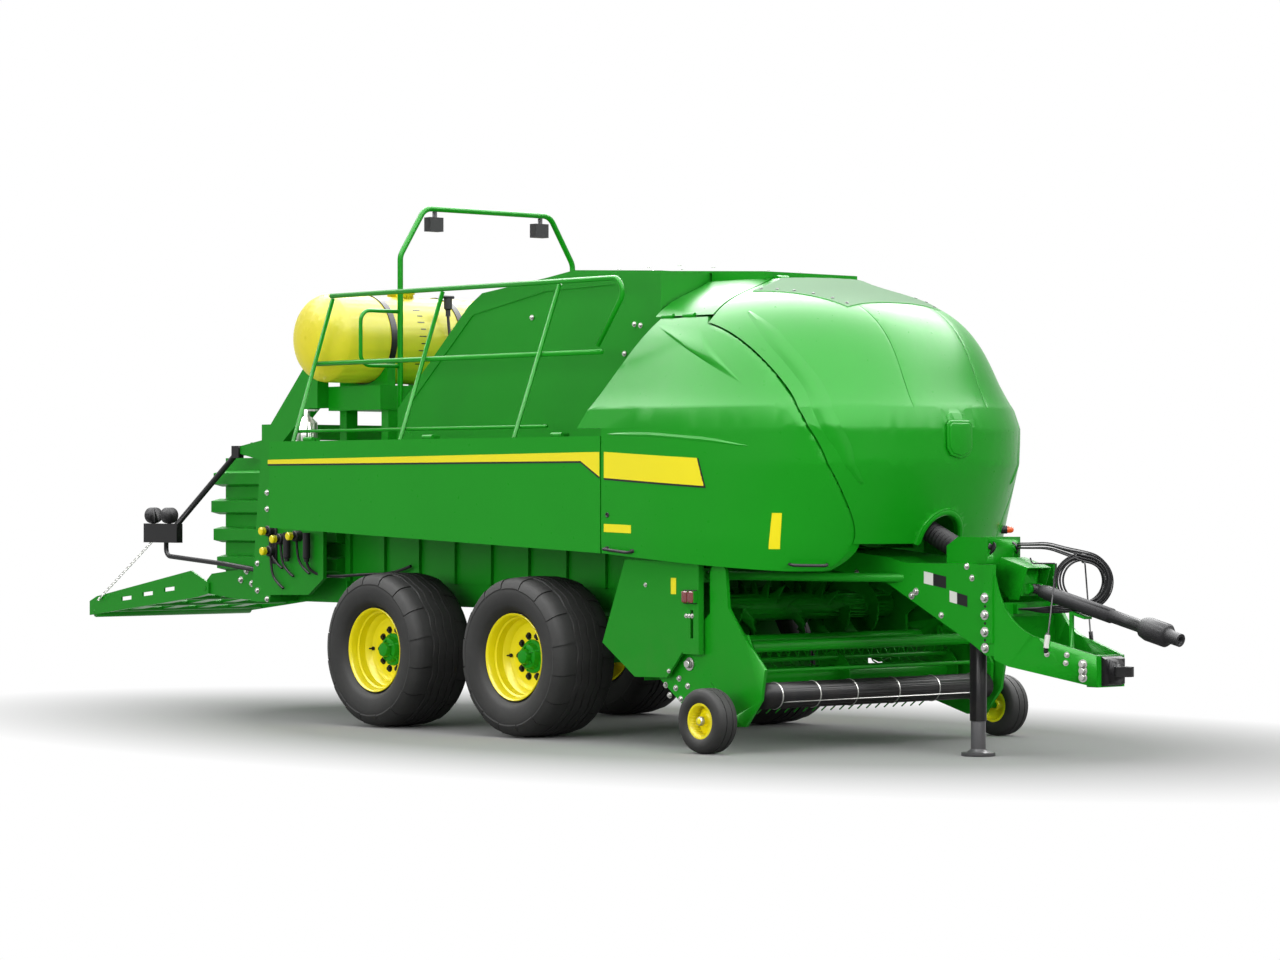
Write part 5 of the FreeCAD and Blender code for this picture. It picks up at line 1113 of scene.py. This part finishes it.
class BALER_OT_bolts(bpy.types.Operator):
    """Sets the bolts on the drawbar, the hitch, the feeder, the pickup, the portal and the cover"""
    bl_idname = "baler.bolts"
    bl_label = "Bolts"

    STRIP_FACE = 0.294
    # node, name, size, distance from the middle plane, (x, z) of each bolt
    ROWS = (
        ("drawbar_beam", "strip_bolts", 0.034, STRIP_FACE,
         ((3.34, 0.975), (3.34, 0.871), (3.34, 0.767))),
        ("drawbar_beam", "strip_low_bolts", 0.034, DRAWBAR_FACE, ((3.33, 0.668),)),
        ("drawbar_beam", "beam_bolts", 0.022, DRAWBAR_FACE,
         ((3.176, 1.165), (2.221, 1.11), (3.22, 1.095), (2.96, 0.86))),
        ("drawbar_beam", "beam_nuts", 0.026, DRAWBAR_FACE, ((2.706, 0.976), (2.742, 1.002))),
        ("feeder_frame", "feeder_bolts", 0.016, FEEDER_FACE,
         ((1.575, 0.842), (1.603, 0.842), (1.631, 0.842), (1.412, 0.488), (1.19, 1.03))),
        ("pickup_frame", "pickup_bolts", 0.022, 1.1,
         ((1.323, 0.394), (1.418, 0.378), (1.465, 0.31), (1.36, 0.33), (1.45, 0.44),
          (1.53, 0.395), (1.6, 0.33))),
        ("pickup_frame", "pickup_pivot_bolts", 0.046, 1.1, ((1.549, 0.535),)),
        ("rear_portal", "portal_bolts", 0.024, 0.86,
         ((-3.3, 1.5), (-3.3, 1.62), (-3.42, 0.9), (-3.3, 0.84), (-3.42, 1.1), (-2.7, 1.38))),
        ("rear_portal", "lug_bolts", 0.028, 0.735,
         ((-3.727, 1.037), (-3.8, 0.97), (-3.66, 0.945))),
        ("upper_cover", "cover_bolts", 0.02, 0.85,
         ((0.74, 2.72), (0.8, 2.71), (0.64, 2.53), (0.91, 2.48), (-0.3, 2.8))),
    )
    ARM_ROWS = (("arm_bolts", 0.02, ((3.763, 0.643), (3.897, 0.641), (3.89, 0.592))),
                ("nose_bolts", 0.032, ((4.005, 0.588), (4.005, 0.548), (4.005, 0.508))))
    LEAN = 0.2217           # of the hitch arms' faces
    HOLES = ((3.34, 0.923), (3.34, 0.819), (3.34, 0.717))
    # profile of a thin black disc that paints the shade inside an empty hole
    HOLE = ((0.0, 0.009), (0.0008, 0.0085), (0.0006, 0.006), (0.0, 0.0))

    def execute(self, context):
        for node, name, size, y, spots in self.ROWS:
            scatter(hexagon_head(size), both_sides(y, spots), name, body_of(node))
        for name, size, spots in self.ARM_ROWS:
            rows = [(at(x, s * (0.2 - self.LEAN * (x - 3.763)), z), (self.LEAN, s, 0))
                    for s in (-1, 1) for x, z in spots]
            scatter(hexagon_head(size), rows, name, body_of("hitch_arms"))
        # painted shade: black discs stand for the dark inside of the strip's empty holes
        mouth = revolve(self.HOLE, (0, 0, 0), (0, 0, 1), 12)        # of an empty hole, dark
        scatter(mouth, both_sides(self.STRIP_FACE, self.HOLES), "strip_holes",
                body_of("drawbar_beam"), "Black paint")
        plugs = [(at(3.199, s * 0.101, 1.277), (0, s * 0.9, 0.43)) for s in (-1, 1)]
        scatter(hexagon_head(0.052), plugs, "gearbox_plug", body_of("front_gearbox"), "Black paint")
        return {"FINISHED"}


# ---- lamps ----
class BALER_OT_lamps(bpy.types.Operator):
    """Models the tail lights and the glasses of the work lamps"""
    bl_idname = "baler.lamps"
    bl_label = "Lamps"

    REAR, FRONT = 1.56, 1.678      # ends of the tail light's case

    def execute(self, context):
        body, middle = body_of("feeder_frame"), (self.REAR + self.FRONT) / 2
        for side, s in SIDES:
            case = block(at(self.REAR, s * 1.156, 0.918), at(self.FRONT, s * 1.172, 1.006))
            finish(soften(case, 0.005), "tail_light_case_" + side, "Black plastic", body)
            glasses = [soften(block(at(a, s * 1.168, 0.924), at(b, s * 1.196, 1.0)), 0.011, 3)
                       for a, b in ((self.REAR + 0.006, middle - 0.002),
                                    (middle + 0.002, self.FRONT - 0.006))]
            finish(glasses, "tail_light_glass_" + side, "Red glass", body)
        # the work lamps on the hoop, above 3 m
        lamps = [vertex.co for vertex in NODES["work_lamps"].data.vertices if vertex.co.z > 3.0]
        high, face = max(spot.z for spot in lamps), min(spot.x for spot in lamps)
        glasses = []
        for s in (-1, 1):
            reach = [spot.y for spot in lamps if spot.y * s > 0]
            glass = block((face - 0.004, min(reach) + 0.014, high - 0.13),
                          (face + 0.006, max(reach) - 0.014, high - 0.05))
            glasses.append(soften(glass, 0.008, 3))
        finish(glasses, "work_lamp_glass", "Clear glass", body_of("work_lamps"))
        return {"FINISHED"}


# ---- rear fittings ----
class BALER_OT_rear_fittings(bpy.types.Operator):
    """Models the side valves and their hoses, the chute's chains, and the tank's marks and valve"""
    bl_idname = "baler.rear_fittings"
    bl_label = "Rear fittings"

    VALVES = ((-3.23, 1.339), (-3.095, 1.282), (-2.9, 1.305), (-3.217, 1.193))
    VALVE = ((-0.002, 0.04), (0.052, 0.04), (0.058, 0.034), (0.058, 0.024), (0.08, 0.024),
             (0.08, 0.0), (-0.002, 0.0))
    CAP = ((0.078, 0.022), (0.082, 0.029), (0.112, 0.029), (0.118, 0.022), (0.118, 0.0),
           (0.078, 0.0))
    HOSE = ((0, -0.03, -0.03), (0.01, -0.035, -0.12), (0.05, -0.03, -0.22), (0.14, -0.02, -0.27))
    CYLINDER = ((0.0, 0.0), (0.0, 0.028), (0.18, 0.028), (0.19, 0.02), (0.21, 0.02), (0.21, 0.0))
    LONG_HOSE = ((-2.76, -0.905, 1.13), (-2.75, -0.9, 1.05), (-2.62, -0.8, 1.01),
                 (-2.35, -0.68, 1.035), (-2.05, -0.665, 1.04), (-1.85, -0.665, 1.1))
    TANK_TEE = ((0.0, 0.0), (0.0, 0.03), (0.075, 0.03), (0.085, 0.018), (0.13, 0.018),
                (0.13, 0.0))
    TANK_PIPE = ((0, 0, -0.12), (0.01, 0, -0.25), (0.03, 0.02, -0.42))
    TANK_HANDLE = ((-0.05, 0.0), (-0.05, 0.012), (0.05, 0.012), (0.05, 0.0))
    LINK_THICK, LINK_INNER, LINK_ROUND = 0.0035, 0.03, 0.0085
    MARKS, LOWEST_MARK, MARK_STEP, MARK_Y = 9, -34, 9.5, -0.36     # the angles in degrees

    def execute(self, context):
        self.valves()
        for side, _ in SIDES:
            self.chain("chute_chain_" + side)
        self.tank_marks()
        self.tank_valve()
        return {"FINISHED"}

    def valves(self):
        out, blocks, caps, lines = (0, -1, 0), [], [], []
        for x, z in self.VALVES:
            base = at(x, -0.86, z)
            blocks.append(revolve(self.VALVE, base, out, 16))
            caps.append(revolve(self.CAP, base, out, 16))
            lines.append(bent([base + Vector(step) for step in self.HOSE], 0.01))
        blocks.append(soften(block(at(-3.25, -0.875, 1.1), at(-3.17, -0.861, 1.39)), 0.006))
        for x in (-2.76, -3.0):
            blocks.append(revolve(self.CYLINDER, at(x, -0.905, 1.33), (0, 0, -1), 18))
        lines.append(bent([at(*spot) for spot in self.LONG_HOSE], 0.011))
        body = body_of("rear_portal")
        finish(blocks, "side_valves", "Black plastic", body)
        finish(caps, "valve_caps", "Yellow paint", body)
        finish(lines, "valve_lines", "Hose rubber", body)

    def chain(self, node):
        """Links from end to end, each turned a quarter from the last."""
        low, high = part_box(node)
        start = Vector((high.x, (low.y + high.y) / 2, high.z))
        run = Vector((low.x, (low.y + high.y) / 2, low.z)) - start
        thick, round_end = self.LINK_THICK, self.LINK_ROUND
        count = int(run.length / self.LINK_INNER)
        link_piece = primitive("torus", major_segments=12, minor_segments=6,
                               major_radius=round_end, minor_radius=thick)
        stretch = (self.LINK_INNER + 2 * thick - 2 * round_end - thick) / 2
        for vertex in link_piece.data.vertices:
            vertex.co.x += math.copysign(stretch, vertex.co.x)
        turn = run.to_track_quat("X", "Z").to_matrix().to_4x4()
        links = copies(smooth(link_piece, 60.0), [
            Matrix.Translation(start + run * ((index + 0.5) / count)) @ turn
            @ Matrix.Rotation(math.pi / 2 * (index % 2), 4, "X") for index in range(count)])
        finish(links, node + "_links", "Zinc plate", body_of(node), node=node)

    def tank_marks(self):
        """The plain marks of a level strip, every other one long."""
        low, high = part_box("tank")
        radius, out = (high.x - low.x) / 2, (high.x - low.x) / 2 + 0.0005
        middle, axis_z = (low.x + high.x) / 2, low.z + radius
        marks = []
        for step in range(self.MARKS):
            angle = math.radians(self.LOWEST_MARK + self.MARK_STEP * step)
            spot = Vector((middle + out * math.cos(angle), self.MARK_Y,
                           axis_z + out * math.sin(angle)))
            mark = block((-0.0012, -0.022 if step % 2 else -0.04, -0.004), (0.0012, 0.022, 0.004))
            marks += copies(soften(mark, 0.0005, 1),
                            [Matrix.Translation(spot) @ Matrix.Rotation(-angle, 4, "Y")])
        finish(marks, "tank_level_marks", "Black paint", body_of("tank"))

    def tank_valve(self):
        """The tee, the pipe and the handle on the tank's top."""
        low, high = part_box("tank")
        tee = at(-2.06, -0.16, low.z + (high.x - low.x) / 2 + 0.3)
        parts = [revolve(self.TANK_TEE, tee, (0, 0, -1), 18),
                 bent([tee + Vector(step) for step in self.TANK_PIPE], 0.011),
                 revolve(self.TANK_HANDLE, tee + Vector((0, 0, 0.01)), (0, 1, 0), 12)]
        finish(parts, "tank_valve", "Black plastic", body_of("tank"))


# ---- front fittings ----
class BALER_OT_front_fittings(bpy.types.Operator):
    """Models the roller's wires, the hook's tag, the feeder's back sheets and the shaft's boot"""
    bl_idname = "baler.front_fittings"
    bl_label = "Front fittings"

    TAG = ((0.0, 0.0), (0.0, 0.012), (0.004, 0.0165), (0.08, 0.0165), (0.084, 0.012), (0.084, 0.0))
    WIRES = (-0.9, -0.57, -0.24, 0.14, 0.51, 0.88)
    MOUTH, END = 0.52, 1.02         # half the width of the channel's mouth, and of the feeder
    MOUTH_TOP = 1.12
    SHEET_REAR, SHEET_FRONT, SHEET_TOP, SHEET_LOW = 1.037, 1.043, 1.58, 0.41

    def execute(self, context):
        self.roller_wires(context.scene.baler_trim.wire)
        finish(revolve(self.TAG, at(3.7622, -0.2075, 0.676), (0.03, 0.14, 1.0), 20), "hook_tag",
               "Tag white", body_of("hose_hooks"))
        self.feeder_back()
        self.shaft_boot()
        return {"FINISHED"}

    def roller_wires(self, wire):
        """Rings of wire round the guard's roller, and one wire along its front."""
        centre, radius, _ = round_size("guard_roller")
        turns = [math.tau * k / 8 for k in range(8)]
        outline = [(wire * math.cos(turn), radius - wire * 0.2 + wire * math.sin(turn))
                   for turn in turns]
        wires = [revolve(outline, (centre.x, y, centre.z), (0, 1, 0), 40, 60.0)
                 for y in self.WIRES]
        front = centre + Vector((radius * 0.93, 0, -radius * 0.46))
        wires.append(bent([(front.x - back, y, front.z) for back, y in (
            (0.02, -0.97), (0.0, -0.95), (0.0, 0.0), (0.0, 0.94), (0.02, 0.96))], wire * 0.8))
        finish(wires, "roller_wires", "Zinc plate", body_of("guard_roller"))

    def feeder_back(self):
        """The curved sheets behind the rotor's augers, beside and above the channel's mouth."""
        low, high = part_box("feed_rotor")
        x, z = (low.x + high.x) / 2, (low.z + high.z) / 2
        gap, sheet = (high.z - low.z) / 2 + 0.045, 0.006
        turns = [math.radians(123 + 10 * k) for k in range(12)]
        front, rear = AXLE_X + self.SHEET_FRONT, AXLE_X + self.SHEET_REAR

        def face(top_x, reach):
            """One face of the sheet: its top edge, the curve round the augers, its low edge."""
            curve = [(x + reach * math.cos(turn), z + reach * math.sin(turn)) for turn in turns]
            return [(top_x, self.SHEET_TOP), *curve, (curve[-1][0], self.SHEET_LOW)]

        outline = face(front, gap) + face(rear, gap + sheet)[::-1]
        sheets = [plate(outline, self.END - self.MOUTH, (0, y, 0))
                  for y in (self.END, -self.MOUTH)]
        above = ((rear, self.MOUTH_TOP), (front, self.MOUTH_TOP), (front, self.SHEET_TOP),
                 (rear, self.SHEET_TOP))
        sheets.append(plate(above, 2 * self.MOUTH - 0.004, (0, self.MOUTH - 0.002, 0)))
        finish(sheets, "feeder_back", "Dark green paint", body_of("feeder_frame"), "green")

    def shaft_boot(self):
        """The ribbed rubber boot on the shaft where it leaves the hood."""
        start = at(2.1, 0, 1.6)
        away = (at(2.905, 0, 1.233) - start).normalized()
        ribs = [(0.0, 0.047)] + [(0.016 * k, 0.07 if k % 2 else 0.055) for k in range(19)]
        boot = revolve(ribs + [(0.288, 0.047)], start + away * 0.53, away, 32, 80.0)
        finish(boot, "shaft_boot", "Black plastic", body_of("main_gearbox"))


# ---- the panel and the run ----
class BALER_PT_looks(bpy.types.Panel):
    """Shows the baler's settings and a button for each of its steps"""
    bl_label = "Baler"
    bl_idname = "BALER_PT_looks"
    bl_space_type = "VIEW_3D"
    bl_region_type = "UI"
    bl_category = "Baler"

    def draw(self, context):
        for settings, _ in SETTINGS:
            box = self.layout.box()
            group = getattr(context.scene, settings)
            for name in group.__annotations__:
                box.prop(group, name)
        for operator in OPERATORS:
            self.layout.operator(operator.bl_idname)


SETTINGS = (("baler_paint", PaintColours), ("baler_trim", TrimSizes),
            ("baler_studio", StudioSettings))
OPERATORS = (BALER_OT_paint, BALER_OT_stage, BALER_OT_hoses, BALER_OT_skins, BALER_OT_tyres,
             BALER_OT_hubs, BALER_OT_stripes, BALER_OT_door_fittings, BALER_OT_top_sheet,
             BALER_OT_bolts, BALER_OT_lamps, BALER_OT_rear_fittings, BALER_OT_front_fittings)


def register():
    for name, group in SETTINGS:
        bpy.utils.register_class(group)
        setattr(bpy.types.Scene, name, bpy.props.PointerProperty(type=group))
    for each in (*OPERATORS, BALER_PT_looks):
        bpy.utils.register_class(each)


def unregister():
    for each in (BALER_PT_looks, *reversed(OPERATORS)):
        bpy.utils.unregister_class(each)
    for name, group in reversed(SETTINGS):
        delattr(bpy.types.Scene, name)
        bpy.utils.unregister_class(group)


def main():
    register()
    for operator in OPERATORS:
        group, name = operator.bl_idname.split(".")
        getattr(getattr(bpy.ops, group), name)()
    rest()


if __name__ == "__main__":
    main()
